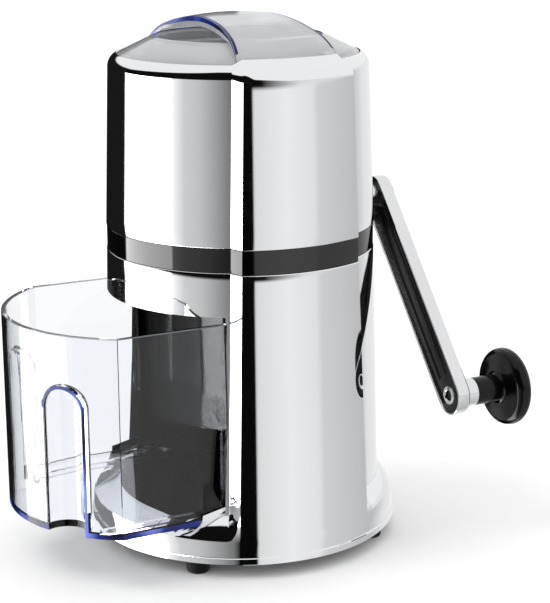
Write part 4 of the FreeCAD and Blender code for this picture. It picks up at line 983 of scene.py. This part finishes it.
@dataclass
class ClearLid:
    """The clear lid, with strap edges and a line round its dish that are tinted and carry painted
    glow.

    A bead's height is read from the strap just inside the edge, by looking down from the sky.
    """

    strap_foot: float = 247.0
    strap_half: float = 20.5
    waist: float = 233.5
    side_slack: float = 0.9
    side_facing: float = 0.8
    dish: float = 41.0
    dish_slack: float = 0.6
    dish_edge: float = 254.6
    edge_slack: float = 0.3
    rim_angle: float = 12.0
    rim_line: float = 0.7
    bead_width: float = 1.7
    bead_round: float = 0.25
    bead_lift: float = 0.08
    bead_depth: float = 0.3
    bead_overhang: float = 0.02
    bead_inset: float = 0.06
    bead_reach: float = 50.0
    bead_steps: int = 72
    sky: float = 300.0

    def strap_side(self, x: float) -> float:
        """Give half the strap's width at a place along it."""
        return self.strap_half + self.waist - math.sqrt(self.waist ** 2 - x * x)

    def beside_strap(self, face: BMFace) -> bool:
        """Say whether a face is one of the strap's two cut sides.

        Args:
            face: The face.

        Returns:
            True where it is.
        """
        middle = face.calc_center_median() / MM
        off = abs(middle.y) - self.strap_side(middle.x)
        return (middle.z > self.strap_foot and abs(off) < self.side_slack
                and abs(face.normal.y) > self.side_facing)

    def bead(self, bm: BMesh, surface: BVHTree, side: int) -> None:
        """Lay the bead that stiffens one edge of the strap, tinted and carrying painted glow.

        Args:
            bm: The lid, in metres, which gets the bead.
            surface: What finds the height of the strap's top.
            side: 1 for the back edge and -1 for the front one.
        """
        section = ((self.bead_overhang, -self.bead_depth), (-self.bead_round, self.bead_lift),
                   (self.bead_round - self.bead_width, self.bead_lift),
                   (-self.bead_width, -self.bead_depth))
        lines = []
        for n in range(self.bead_steps + 1):
            x = self.bead_reach * (2 * n / self.bead_steps - 1)
            edge = self.strap_side(x)
            line = []
            for out, lift in section:
                above = Vector((x, side * (edge + min(out, -self.bead_inset)), self.sky)) * MM
                top = surface.ray_cast(above, Vector((0, 0, -1)))[0].z / MM
                line.append(Vector((x, side * (edge + out), top + lift)) * MM)
            lines.append(line)
        for face in skin(bm, lines):
            face.material_index = Clear.EDGE

    def tint_glow_crest(self, bm: BMesh) -> None:
        """Part the strap's cut sides along their length, and give their upper halves the tint with
        painted glow.

        Args:
            bm: The lid, in metres.
        """
        def key(vert: BMVert) -> tuple[float, ...]:
            """Give a corner's place as a key that outlives changes to the mesh."""
            return tuple(round(c / MM, 3) for c in vert.co)

        bm.normal_update()
        sides = {face for face in bm.faces if self.beside_strap(face)}
        rungs = {e for face in sides for e in face.edges
                 if sum(near in sides for near in e.link_faces) == 2}
        crest = {key(max(e.verts, key=lambda v: v.co.z)) for e in rungs}
        bmesh.ops.subdivide_edges(bm, edges=list(rungs), cuts=1)
        bm.normal_update()
        for face in bm.faces:
            if self.beside_strap(face) and any(key(v) in crest for v in face.verts):
                face.material_index = Clear.EDGE

    def on_dish_edge(self, vert: BMVert) -> bool:
        """Say whether a corner lies on the edge of the dish.

        Args:
            vert: The corner.

        Returns:
            True where it does.
        """
        x, y, z = vert.co / MM
        return abs(z - self.dish_edge) < self.edge_slack and (
            abs(math.hypot(x, y) - self.dish) < self.dish_slack)

    def make(self) -> Object:
        """Make the piece.

        Returns:
            The piece.
        """
        bm = copy_node("lid")
        surface = BVHTree.FromBMesh(bm)
        self.tint_glow_crest(bm)
        # The dish's edge line gets the tint with painted glow.
        rim = [e for e in bm.edges if e.calc_face_angle(0.0) > math.radians(self.rim_angle)
               and all(map(self.on_dish_edge, e.verts))]
        bmesh.ops.bevel(bm, geom=rim, offset=self.rim_line * MM, segments=2, profile=0.5,
                        affect="EDGES", material=Clear.EDGE)
        for side in (1, -1):
            self.bead(bm, surface, side)
        return settle(bm, "clear_hopper_lid", Body.LID, [SCUFFED_CLEAR, CLEAR_EDGE], "lid",
                      scale=1.0, crease=28.0)


# ---------------------------------------------------------------- what repeats
@dataclass
class Repeats:
    """A Geometry Nodes tree that repeats a shape at points.

    Round shapes have the round steps, and corners closer than the join are one corner.
    """

    name: str
    round_steps: int = 40
    join: float = 0.001
    tree: NodeTree = field(init=False)
    inlet: Node = field(init=False)
    values: dict[str, float] = field(default_factory=dict)

    def __post_init__(self) -> None:
        """Start the tree with its output and its group input."""
        self.tree = bpy.data.node_groups.new(self.name, "GeometryNodeTree")
        self.tree.interface.new_socket("Geometry", in_out="OUTPUT",
                                       socket_type="NodeSocketGeometry")
        self.inlet = self.tree.nodes.new("NodeGroupInput")

    def size(self, name: str, millimetres: float) -> NodeSocket:
        """Add a named input for a size.

        Args:
            name: The input's name.
            millimetres: Its value.

        Returns:
            The socket that gives it, in metres.
        """
        made = self.tree.interface.new_socket(name, in_out="INPUT", socket_type="NodeSocketFloat")
        self.values[made.identifier] = millimetres * MM
        return self.inlet.outputs[name]

    def times(self, size: NodeSocket, factor: float) -> NodeSocket:
        """Multiply a size by a factor."""
        return add_node(self.tree, "ShaderNodeMath", {0: size, 1: factor},
                        operation="MULTIPLY").outputs[0]

    def moved(self, part: NodeSocket, axis: str, by: NodeSocket) -> NodeSocket:
        """Move a mesh along an axis.

        Args:
            part: Socket with the mesh.
            axis: X, Y or Z.
            by: Socket with the distance.

        Returns:
            The socket with the moved mesh.
        """
        way = add_node(self.tree, "ShaderNodeCombineXYZ", {axis: by})
        return add_node(self.tree, "GeometryNodeTransform", {
            "Geometry": part, "Translation": way.outputs[0]}).outputs[0]

    def rod(self, radius: NodeSocket, length: NodeSocket, at: NodeSocket,
            upper: NodeSocket | None = None) -> NodeSocket:
        """Add an upright rod, plain or tapered, whose foot is at a height.

        Args:
            radius: Socket for its lower radius.
            length: Socket for its length.
            at: Socket for the height of its foot.
            upper: Socket for its upper radius, where it has another.

        Returns:
            The socket with its mesh.
        """
        cone = add_node(self.tree, "GeometryNodeMeshCone", {
            "Vertices": self.round_steps, "Radius Top": upper or radius,
            "Radius Bottom": radius, "Depth": length})
        return self.moved(cone.outputs["Mesh"], "Z", at)

    def corners(self, across: NodeSocket, along: NodeSocket) -> NodeSocket:
        """Give four corner points.

        Args:
            across: Socket for the distance from the middle plane.
            along: Socket for the distance from the cross plane.

        Returns:
            The socket with the points.
        """
        return add_node(self.tree, "GeometryNodeMeshGrid", {
            "Size X": self.times(across, 2.0), "Size Y": self.times(along, 2.0),
            "Vertices X": 2, "Vertices Y": 2}).outputs["Mesh"]

    def plain(self, parts: Sequence[NodeSocket], points: NodeSocket, finish: Finish) -> BMesh:
        """Stand the parts at every point, and turn the tree's result into a plain mesh.

        Args:
            parts: Mesh sockets that make up one of the set.
            points: Socket with the points.
            finish: The set's finish.

        Returns:
            The mesh, in metres.
        """
        tree = self.tree
        joined = tree.nodes.new("GeometryNodeJoinGeometry")
        for part in parts:
            tree.links.new(part, joined.inputs[0])
        stand = add_node(tree, "GeometryNodeInstanceOnPoints", {
            "Points": points, "Instance": joined.outputs[0]})
        real = add_node(tree, "GeometryNodeRealizeInstances", {"Geometry": stand.outputs[0]})
        dressed = add_node(tree, "GeometryNodeSetMaterial", {
            "Geometry": real.outputs[0], "Material": finish.material()})
        add_node(tree, "NodeGroupOutput", {0: dressed.outputs[0]})
        holder = as_object(bmesh.new(), self.name)
        modifier = holder.modifiers.new(self.name, "NODES")
        modifier.node_group = tree
        for identifier, value in self.values.items():
            modifier[identifier] = value
        depsgraph = bpy.context.evaluated_depsgraph_get()
        mesh = bpy.data.meshes.new_from_object(holder.evaluated_get(depsgraph))
        holder.modifiers.clear()
        bpy.data.objects.remove(holder)
        bm = bmesh.new()
        bm.from_mesh(mesh)
        bpy.data.meshes.remove(mesh)
        bmesh.ops.remove_doubles(bm, verts=bm.verts, dist=self.join * MM)
        for face in bm.faces:
            face.material_index = 0
        return bm


@dataclass
class Feet:
    """Four tapered rubber feet, each with a rolled lower edge."""

    place: float = 48.44
    top_radius: float = 6.8
    low_radius: float = 5.6
    height: float = 7.7
    roll: float = 1.1
    roll_steps: int = 16

    def make(self) -> Object:
        """Make the feet.

        Returns:
            The piece.
        """
        kit = Repeats("feet_at_four_corners")
        place, floor = kit.size("Place", self.place), kit.size("Floor", 0.0)
        top, low = kit.size("Top Radius", self.top_radius), kit.size("Low Radius", self.low_radius)
        roll, length = kit.size("Roll", self.roll), kit.size("Length", self.height - self.roll)
        core = kit.size("Core Radius", self.low_radius - self.roll)
        path = add_node(kit.tree, "GeometryNodeCurvePrimitiveCircle", {
            "Resolution": kit.round_steps, "Radius": core})
        section = add_node(kit.tree, "GeometryNodeCurvePrimitiveCircle", {
            "Resolution": self.roll_steps, "Radius": roll})
        tube = add_node(kit.tree, "GeometryNodeCurveToMesh", {
            0: path.outputs[0], 1: section.outputs[0]})
        parts = [kit.rod(low, length, roll, top), kit.rod(core, roll, floor),
                 kit.moved(tube.outputs[0], "Z", roll)]
        bm = kit.plain(parts, kit.corners(place, place), RUBBER)
        return settle(bm, "rolled_rubber_feet", Body.HOUSING, [RUBBER], "rubber_feet",
                      scale=1.0)


@dataclass
class SlottedScrews:
    """Four upright slotted screws with their heads below."""

    piece: str
    node: str
    across: float
    along: float
    head_low: float
    shank_high: float
    head_radius: float = 3.0
    head_depth: float = 2.0
    shank_radius: float = 1.5
    shank_start: float = 1.1
    shank_shortfall: float = 0.5
    slot_width: float = 0.8
    slot_length: float = 4.4
    slot_depth: float = 1.0

    def make(self) -> Object:
        """Make the screws.

        Returns:
            The piece.
        """
        kit = Repeats(self.piece + "_set")
        across, along = kit.size("Across", self.across), kit.size("Along", self.along)
        low, depth = kit.size("Head Low", self.head_low), kit.size("Head Depth", self.head_depth)
        head = kit.rod(kit.size("Head Radius", self.head_radius), depth, low)
        shank = kit.rod(
            kit.size("Shank Radius", self.shank_radius),
            kit.size("Shank Length", self.shank_high - self.head_low - self.shank_shortfall),
            kit.size("Shank Low", self.head_low + self.shank_start))
        # The block that cuts the slot is centred on the head's face, so it is twice as deep.
        size = add_node(kit.tree, "ShaderNodeCombineXYZ", {
            "X": kit.size("Slot Width", self.slot_width),
            "Y": kit.size("Slot Length", self.slot_length),
            "Z": kit.size("Slot Depth", self.slot_depth * 2)})
        cube = add_node(kit.tree, "GeometryNodeMeshCube", {"Size": size.outputs[0]})
        cut = add_node(kit.tree, "GeometryNodeMeshBoolean", {
            0: head, 1: kit.moved(cube.outputs["Mesh"], "Z", low)}, operation="DIFFERENCE")
        bm = kit.plain([cut.outputs[0], shank], kit.corners(across, along), TURNED_STEEL)
        return settle(bm, self.piece, Body.HOUSING, [TURNED_STEEL], self.node, scale=1.0)


# ---------------------------------------------------------------- crank
@dataclass
class Crank:
    """The crank: a thin-walled chrome arm, its black insert with long ribs, and the knob.

    Distances out from the body are along the shaft. The arm's open side faces the body.
    """

    shaft_height: float = 167.0
    length: float = 116.5
    lean: float = 40.4
    width: float = 19.4
    end_steps: int = 28
    turned_steps: int = 48
    inner: float = 77.0
    outer: float = 84.5
    rounding: float = 1.6
    rounding_steps: int = 6
    lip: float = 0.55
    lip_round: float = 0.15
    lip_fall: float = 0.4
    wall: float = 0.8
    floor: float = 82.8
    hub_radius: float = 6.4
    hub_face: float = 4.0
    hub_round: float = 0.4
    hub_low: float = 69.7
    hub_sunk: float = 0.1
    insert_face: float = 78.1
    insert_gap: float = 0.1
    insert_rounds: tuple[Point, ...] = ((0.0, 0.4), (0.12, 0.12), (0.4, 0.0))
    rib_place: float = 3.3
    rib_radius: float = 0.75
    rib_steps: int = 16
    rib_short: float = 22.0
    rib_shift: float = 0.5
    rib_sunk: float = 0.1
    nut_radius: float = 4.6
    nut_low: float = 77.0
    nut_high: float = 79.6
    nut_rounds: Point = (0.15, 0.5)
    socket: float = 2.7
    socket_round: float = 0.4
    socket_floor: float = 0.9
    socket_slack: float = 0.05
    pole: float = 0.3
    axle_end: float = 0.85

    def place(self) -> Matrix:
        """Give the arm's own frame: X along the arm, Y across it and Z out from the body.

        Returns:
            What turns a point of that frame into one of the object's.
        """
        lean = math.radians(self.lean)
        along = Vector((math.sin(lean), 0, -math.cos(lean)))
        out = Vector((0, 1, 0))
        axes = Matrix([along, out.cross(along), out]).transposed().to_4x4()
        return Matrix.Translation((0, 0, self.shaft_height)) @ axes

    def outline(self, inset: float, height: float) -> list[Vector]:
        """Give the arm's outline, drawn in by an inset.

        Args:
            inset: How far inside the arm's edge the line runs.
            height: Its distance out from the body.

        Returns:
            The points of the closed line.
        """
        radius = self.width / 2 - inset
        points = []
        for centre, turn in ((self.length, -90), (0.0, 90)):
            for n in range(self.end_steps + 1):
                angle = math.radians(turn + 180 * n / self.end_steps)
                points.append(Vector((centre + radius * math.cos(angle),
                                      radius * math.sin(angle), height)))
        return points

    def turned(self, bm: BMesh, along: float, profile: Sequence[Point]) -> None:
        """Turn a profile round a line that stands out from the arm.

        Args:
            bm: The mesh that gets the round shape.
            along: Where on the arm the line stands.
            profile: Radius and distance out, from one pole or cap to the other.
        """
        turns = [math.tau * n / self.turned_steps for n in range(self.turned_steps)]
        skin(bm, [[Vector((along + r * math.cos(a), r * math.sin(a), z)) for a in turns]
                  for r, z in profile])

    def arm(self) -> Object:
        """Make the arm with its hub.

        Returns:
            The piece.
        """
        bm = bmesh.new()
        lines = [self.outline(inset, height) for inset, height in (
            (self.wall, self.floor), (self.wall, self.inner + self.lip_fall),
            (self.lip, self.inner), (self.lip_round, self.inner),
            (0.0, self.inner + self.lip_round))]
        for n in range(self.rounding_steps + 1):
            turn = math.pi / 2 * n / self.rounding_steps
            lines.append(self.outline(self.rounding * (1 - math.cos(turn)),
                                      self.outer - self.rounding * (1 - math.sin(turn))))
        skin(bm, lines)
        self.turned(bm, 0.0, [(self.hub_face, self.hub_low),
                              (self.hub_radius - self.hub_round, self.hub_low),
                              (self.hub_radius, self.hub_low + self.hub_round),
                              (self.hub_radius, self.floor + self.hub_sunk)])
        bm.transform(self.place())
        return settle(bm, "chrome_crank_arm", Body.CRANK, [CAST_CHROME], "crank_arm",
                      crease=35.0)

    def insert(self) -> Object:
        """Make the insert, whose ribs come from a tree that repeats them across the arm.

        Returns:
            The piece.
        """
        kit = Repeats("long_ribs")
        place = kit.size("Place", self.rib_place)
        bar = add_node(kit.tree, "GeometryNodeMeshCylinder", {
            "Vertices": self.rib_steps, "Radius": kit.size("Rib Radius", self.rib_radius),
            "Depth": kit.size("Rib Length", self.length - self.rib_short)})
        lay = add_node(kit.tree, "GeometryNodeTransform", {
            "Geometry": bar.outputs["Mesh"], "Rotation": (0, math.pi / 2, 0)})
        first, step = (add_node(kit.tree, "ShaderNodeCombineXYZ", {"Y": kit.times(place, factor)})
                       for factor in (-1.0, 2.0))
        line = add_node(kit.tree, "GeometryNodeMeshLine", {
            "Count": 2, "Start Location": first.outputs[0], "Offset": step.outputs[0]})
        bm = kit.plain([lay.outputs[0]], line.outputs[0], BLACK_SATIN)
        bm.transform(Matrix.Scale(1 / MM, 4))
        bm.transform(Matrix.Translation((
            self.length / 2 + self.rib_shift, 0, self.insert_face + self.rib_sunk)))
        inset = self.wall + self.insert_gap
        skin(bm, [self.outline(inset, self.floor)] + [
            self.outline(inset + inwards, self.insert_face + out)
            for inwards, out in self.insert_rounds])
        bm.transform(self.place())
        return settle(bm, "ribbed_arm_insert", Body.CRANK, [BLACK_SATIN], "arm_insert",
                      crease=35.0)

    def nut(self) -> Object:
        """Make the knob's nut: a bright ring round a socket whose wall and floor carry painted
        shade.

        Returns:
            The piece.
        """
        bm = bmesh.new()
        low, high, ring, hole = self.nut_low, self.nut_high, self.nut_radius, self.socket
        (small, large), floor = self.nut_rounds, self.nut_high - self.socket_floor
        self.turned(bm, self.length, [
            (self.pole, high), (ring, high), (ring, low + large), (ring - small, low + small),
            (ring - large, low), (hole + self.socket_round, low),
            (hole, low + self.socket_round), (hole, floor), (self.pole, floor)])
        # The second finish, the black nylon, is painted shade on the socket's wall and floor.
        for face in bm.faces:
            x, y, z = face.calc_center_median()
            inside = math.hypot(x - self.length, y) < hole + self.socket_slack
            face.material_index = int(inside and z < (high + floor) / 2)
        bm.transform(self.place())
        return settle(bm, "socketed_knob_nut", Body.CRANK, [CAST_CHROME, NYLON], "knob_nut",
                      crease=35.0)

    def axle(self) -> Object:
        """Make the axle, which ends inside the nut's socket.

        Returns:
            The piece.
        """
        bm = copy_node("knob_axle")
        cut = bmesh.ops.bisect_plane(
            bm, geom=bm.verts[:] + bm.edges[:] + bm.faces[:],
            plane_co=(0, (self.nut_high - self.axle_end) * MM, 0), plane_no=(0, -1, 0),
            clear_outer=True)
        rim = [e for e in cut["geom_cut"] if isinstance(e, BMEdge)]
        bmesh.ops.contextual_create(bm, geom=rim)
        return settle(bm, "turned_knob_axle", Body.CRANK, [TURNED_STEEL], "knob_axle",
                      scale=1.0)

    def knob(self) -> Object:
        """Make the knob."""
        return settle(copy_node("crank_knob"), "gloss_crank_knob", Body.KNOB, [KNOB_BLACK],
                      "crank_knob", scale=1.0, crease=30.0)

    def make(self) -> None:
        """Make every piece of the crank."""
        for build in (self.arm, self.insert, self.nut, self.axle, self.knob):
            build()


# ---------------------------------------------------------------- carried-over nodes
@dataclass(frozen=True)
class NodeDress:
    """A finish for CAD nodes whose own shape stays."""

    finish: Finish
    nodes: tuple[str, ...]

    def make(self) -> None:
        """Put the finish on each node's slots."""
        for name in self.nodes:
            for slot in bpy.data.objects[name].material_slots:
                slot.material = self.finish.material()
            log.info("%s wears %s", name, self.finish.name)


KEPT = (
    NodeDress(BLACK_SATIN, ("base_plate",)),
    NodeDress(BAY_BLACK, ("tray_bay", "crushing_chamber")),
    NodeDress(FUNNEL_GREY, ("hopper",)),
    NodeDress(ACETAL, ("front_bush", "rear_bush", "rotor_spacers")),
    NodeDress(NYLON, ("thrust_washer", "knob_washer")),
    NodeDress(GROUND_STEEL, ("crushing_comb_right", "crushing_comb_left",
                             *(f"rotor_blade_{n}" for n in range(1, 6)))),
    NodeDress(TURNED_STEEL, ("drive_shaft", "shaft_clip", "hub_screw", "chamber_screws",
                             "comb_screws")),
    NodeDress(CAST_CHROME, ("knob_collar",)),
)


# ---------------------------------------------------------------- studio
@dataclass(frozen=True)
class Camera:
    """The camera: place and clip distances in metres, directions in degrees, lens in mm."""

    place: tuple[float, float, float] = (0.7766, -0.3788, 0.3434)
    azimuth: float = 64.0
    down: float = 14.577
    aside: float = 1.149
    roll: float = -0.33
    lens: float = 104.76
    sensor: float = 36.0
    clip: Point = (0.05, 20.0)

    def make(self) -> None:
        """Make the camera and look through it."""
        down, aside, roll = (math.radians(v) for v in (self.down, self.aside, self.roll))
        ahead = Vector((math.sin(aside) * math.cos(down), math.cos(aside) * math.cos(down),
                        -math.sin(down)))
        right = ahead.cross(Vector((0, 0, 1))).normalized()
        up = right.cross(ahead)
        right, up = (right * math.cos(roll) + up * math.sin(roll),
                     up * math.cos(roll) - right * math.sin(roll))
        turn = Matrix.Rotation(math.radians(self.azimuth), 3, "Z")
        axes = Matrix([turn @ right, turn @ up, turn @ -ahead]).transposed().to_4x4()
        data = bpy.data.cameras.new("camera")
        data.lens, data.sensor_width = self.lens, self.sensor
        data.clip_start, data.clip_end = self.clip
        camera = bpy.data.objects.new("camera", data)
        camera.matrix_world = Matrix.Translation(Vector(self.place)) @ axes
        bpy.context.scene.collection.objects.link(camera)
        bpy.context.scene.camera = camera


@dataclass(frozen=True)
class Studio:
    """A white sweep with tall panels round it, which the chrome shows as stripes.

    Stripes are pairs of azimuth in degrees, counted to the right from the front, and
    brightness. The high ones stand above eye level, over the others, and the roofline gives
    the height of their upper edge over azimuth. Heights are the Z of a ray's direction, and
    edges the height over which one level fades to the next.
    """

    heading: float = 26.0
    peak: float = 8.0
    stripes: tuple[Point, ...] = (
        # A black card on the left.
        (-180, 0.01), (-115.5, 0.01),
        # The softbox, whose reflection burns out.
        (-114, 6.5), (-60.5, 5.0),
        # Its spill, over a grey card that falls off towards the front.
        (-59, 1.1), (-48, 0.7), (-34, 0.6), (-7, 0.2),
        # A black flag in front.
        (-3, 0.003), (10.2, 0.003),
        # A white reflector on the right.
        (11.4, 0.8), (37, 0.95), (60, 0.85),
        # A grey wall beside it, and the white one behind.
        (65, 0.7), (112, 0.55), (135, 0.85), (180, 0.95))
    high: tuple[Point, ...] = (
        (-180, 0.01), (-116, 0.01), (-112, 0.004), (18, 0.004), (50, 0.8), (180, 0.9))
    roofline: tuple[Point, ...] = (
        (-180, 0.22), (-112, 0.28), (-60, 0.6), (-25, 0.8), (9, 0.82), (13, 0.4), (40, 0.1),
        (180, 0.08))
    eye_level: float = -0.04
    eye_edge: float = 0.03
    roof: float = 0.95
    roof_edge: float = 0.05
    fill: float = 1.12
    sun: float = 0.8
    sun_from: tuple[float, float, float] = (-0.15, -0.75, 1.2)
    sun_spread: float = 28.0
    floor_half: float = 6000.0

    def ramp(self, tree: NodeTree, share: NodeSocket, stops: Sequence[Point]) -> NodeSocket:
        """Add a ramp of brightness over azimuth.

        Args:
            tree: The world's tree.
            share: Socket for the azimuth as a share of the round.
            stops: Azimuth and brightness pairs.

        Returns:
            The socket with the brightness, as a share of the peak.
        """
        node = add_node(tree, "ShaderNodeValToRGB", {"Fac": share})
        elements = node.color_ramp.elements
        ready = len(elements)
        for number, (azimuth, _) in enumerate(stops):
            spot = azimuth / 360 + 0.5
            stop = elements[number] if number < ready else elements.new(spot)
            stop.position = spot
        for stop, (_, value) in zip(elements, stops):
            level = value / self.peak
            stop.color = (level, level, level, 1.0)
        return node.outputs[0]

    def world(self) -> None:
        """Build the world: stripes for reflections, plain white for everything else."""
        world = bpy.data.worlds.new("studio")
        world.use_nodes = True
        bpy.context.scene.world = world
        tree = world.node_tree
        tree.nodes.clear()

        def maths(operation: str, first: NodeSocket, second: NodeSocket | float) -> NodeSocket:
            """Work a sum out."""
            return add_node(tree, "ShaderNodeMath", {0: first, 1: second},
                            operation=operation).outputs[0]

        def above(level: NodeSocket, height: float, edge: float) -> NodeSocket:
            """Give 0 where a level is below a height and 1 above it."""
            return add_node(tree, "ShaderNodeMapRange", {
                "Value": level, "From Min": height, "From Max": height + edge}).outputs[0]

        place = add_node(tree, "ShaderNodeTexCoord")
        turned = add_node(tree, "ShaderNodeVectorRotate", {
            "Vector": place.outputs["Generated"], "Angle": math.radians(self.heading)},
            rotation_type="Z_AXIS")
        x, y, z = add_node(tree, "ShaderNodeSeparateXYZ", {0: turned.outputs[0]}).outputs
        share = add_node(tree, "ShaderNodeMapRange", {
            "Value": maths("ARCTAN2", y, x), "From Min": -math.pi, "From Max": math.pi}).outputs[0]
        low, high, line = (self.ramp(tree, share, stops)
                           for stops in (self.stripes, self.high, self.roofline))
        walls = add_node(tree, "ShaderNodeMix", {
            0: above(z, self.eye_level, self.eye_edge), 6: low, 7: high}, data_type="RGBA")
        over = maths("SUBTRACT", z, maths("MULTIPLY", line, self.peak))
        roof = self.roof / self.peak
        sky = add_node(tree, "ShaderNodeMix", {
            0: above(over, 0.0, self.roof_edge), 6: walls.outputs[2], 7: (roof, roof, roof, 1)},
            data_type="RGBA")
        path = add_node(tree, "ShaderNodeLightPath")
        plain = add_node(tree, "ShaderNodeMix", {
            0: path.outputs["Is Diffuse Ray"], 2: 1.0, 3: self.fill})
        seen = add_node(tree, "ShaderNodeMix", {
            0: maths("GREATER_THAN", path.outputs["Glossy Depth"], 0.5), 2: plain.outputs[0],
            3: maths("MULTIPLY", sky.outputs[2], self.peak)})
        back = add_node(tree, "ShaderNodeBackground", {
            "Color": (1, 1, 1, 1), "Strength": seen.outputs[0]})
        add_node(tree, "ShaderNodeOutputWorld", {"Surface": back.outputs[0]})

    def key_light(self) -> None:
        """Add a soft, distant light that no mirror shows."""
        data = bpy.data.lights.new("key_light", "SUN")
        data.angle, data.energy = math.radians(self.sun_spread), self.sun
        lamp = bpy.data.objects.new("key_light", data)
        at = Vector(self.sun_from)
        aim = (-at).to_track_quat("-Z", "Y")
        lamp.matrix_world = Matrix.Translation(at) @ aim.to_matrix().to_4x4()
        lamp.visible_camera = lamp.visible_glossy = False
        bpy.context.scene.collection.objects.link(lamp)

    def floor(self) -> None:
        """Lay the pale floor, which mirrors and clear plastic don't show."""
        bm = bmesh.new()
        bmesh.ops.create_grid(bm, x_segments=8, y_segments=8, size=self.floor_half * MM)
        floor = as_object(bm, "studio_floor")
        floor.data.materials.append(PAPER.material())
        floor.visible_glossy = floor.visible_transmission = False

    def make(self) -> None:
        """Make the world, the floor and the light, with colours shown as they are."""
        self.world()
        self.floor()
        self.key_light()
        settings = bpy.context.scene.view_settings
        settings.view_transform, settings.look = "Standard", "None"


def main() -> None:
    """Build the camera, the studio and every sub-assembly in order."""
    logging.basicConfig(level=logging.INFO, format="%(name)s: %(message)s")
    for name in ("Cube", "Light", "Camera"):
        if name in bpy.data.objects:
            bpy.data.objects.remove(bpy.data.objects[name])
    housing_screws = SlottedScrews("slotted_housing_screws", "housing_screws", across=65.4,
                                   along=15.0, head_low=140.7, shank_high=174.5)
    base_screws = SlottedScrews("slotted_base_screws", "base_screws", across=34.0, along=34.0,
                                head_low=5.7, shank_high=21.4)
    for part in (Camera(), Studio(), LowerShell(), UpperShell(), MiddleBand(), ClearTray(),
                 ClearLid(), Crank(), Feet(), housing_screws, base_screws, *KEPT):
        part.make()


if __name__ == "__main__":
    main()
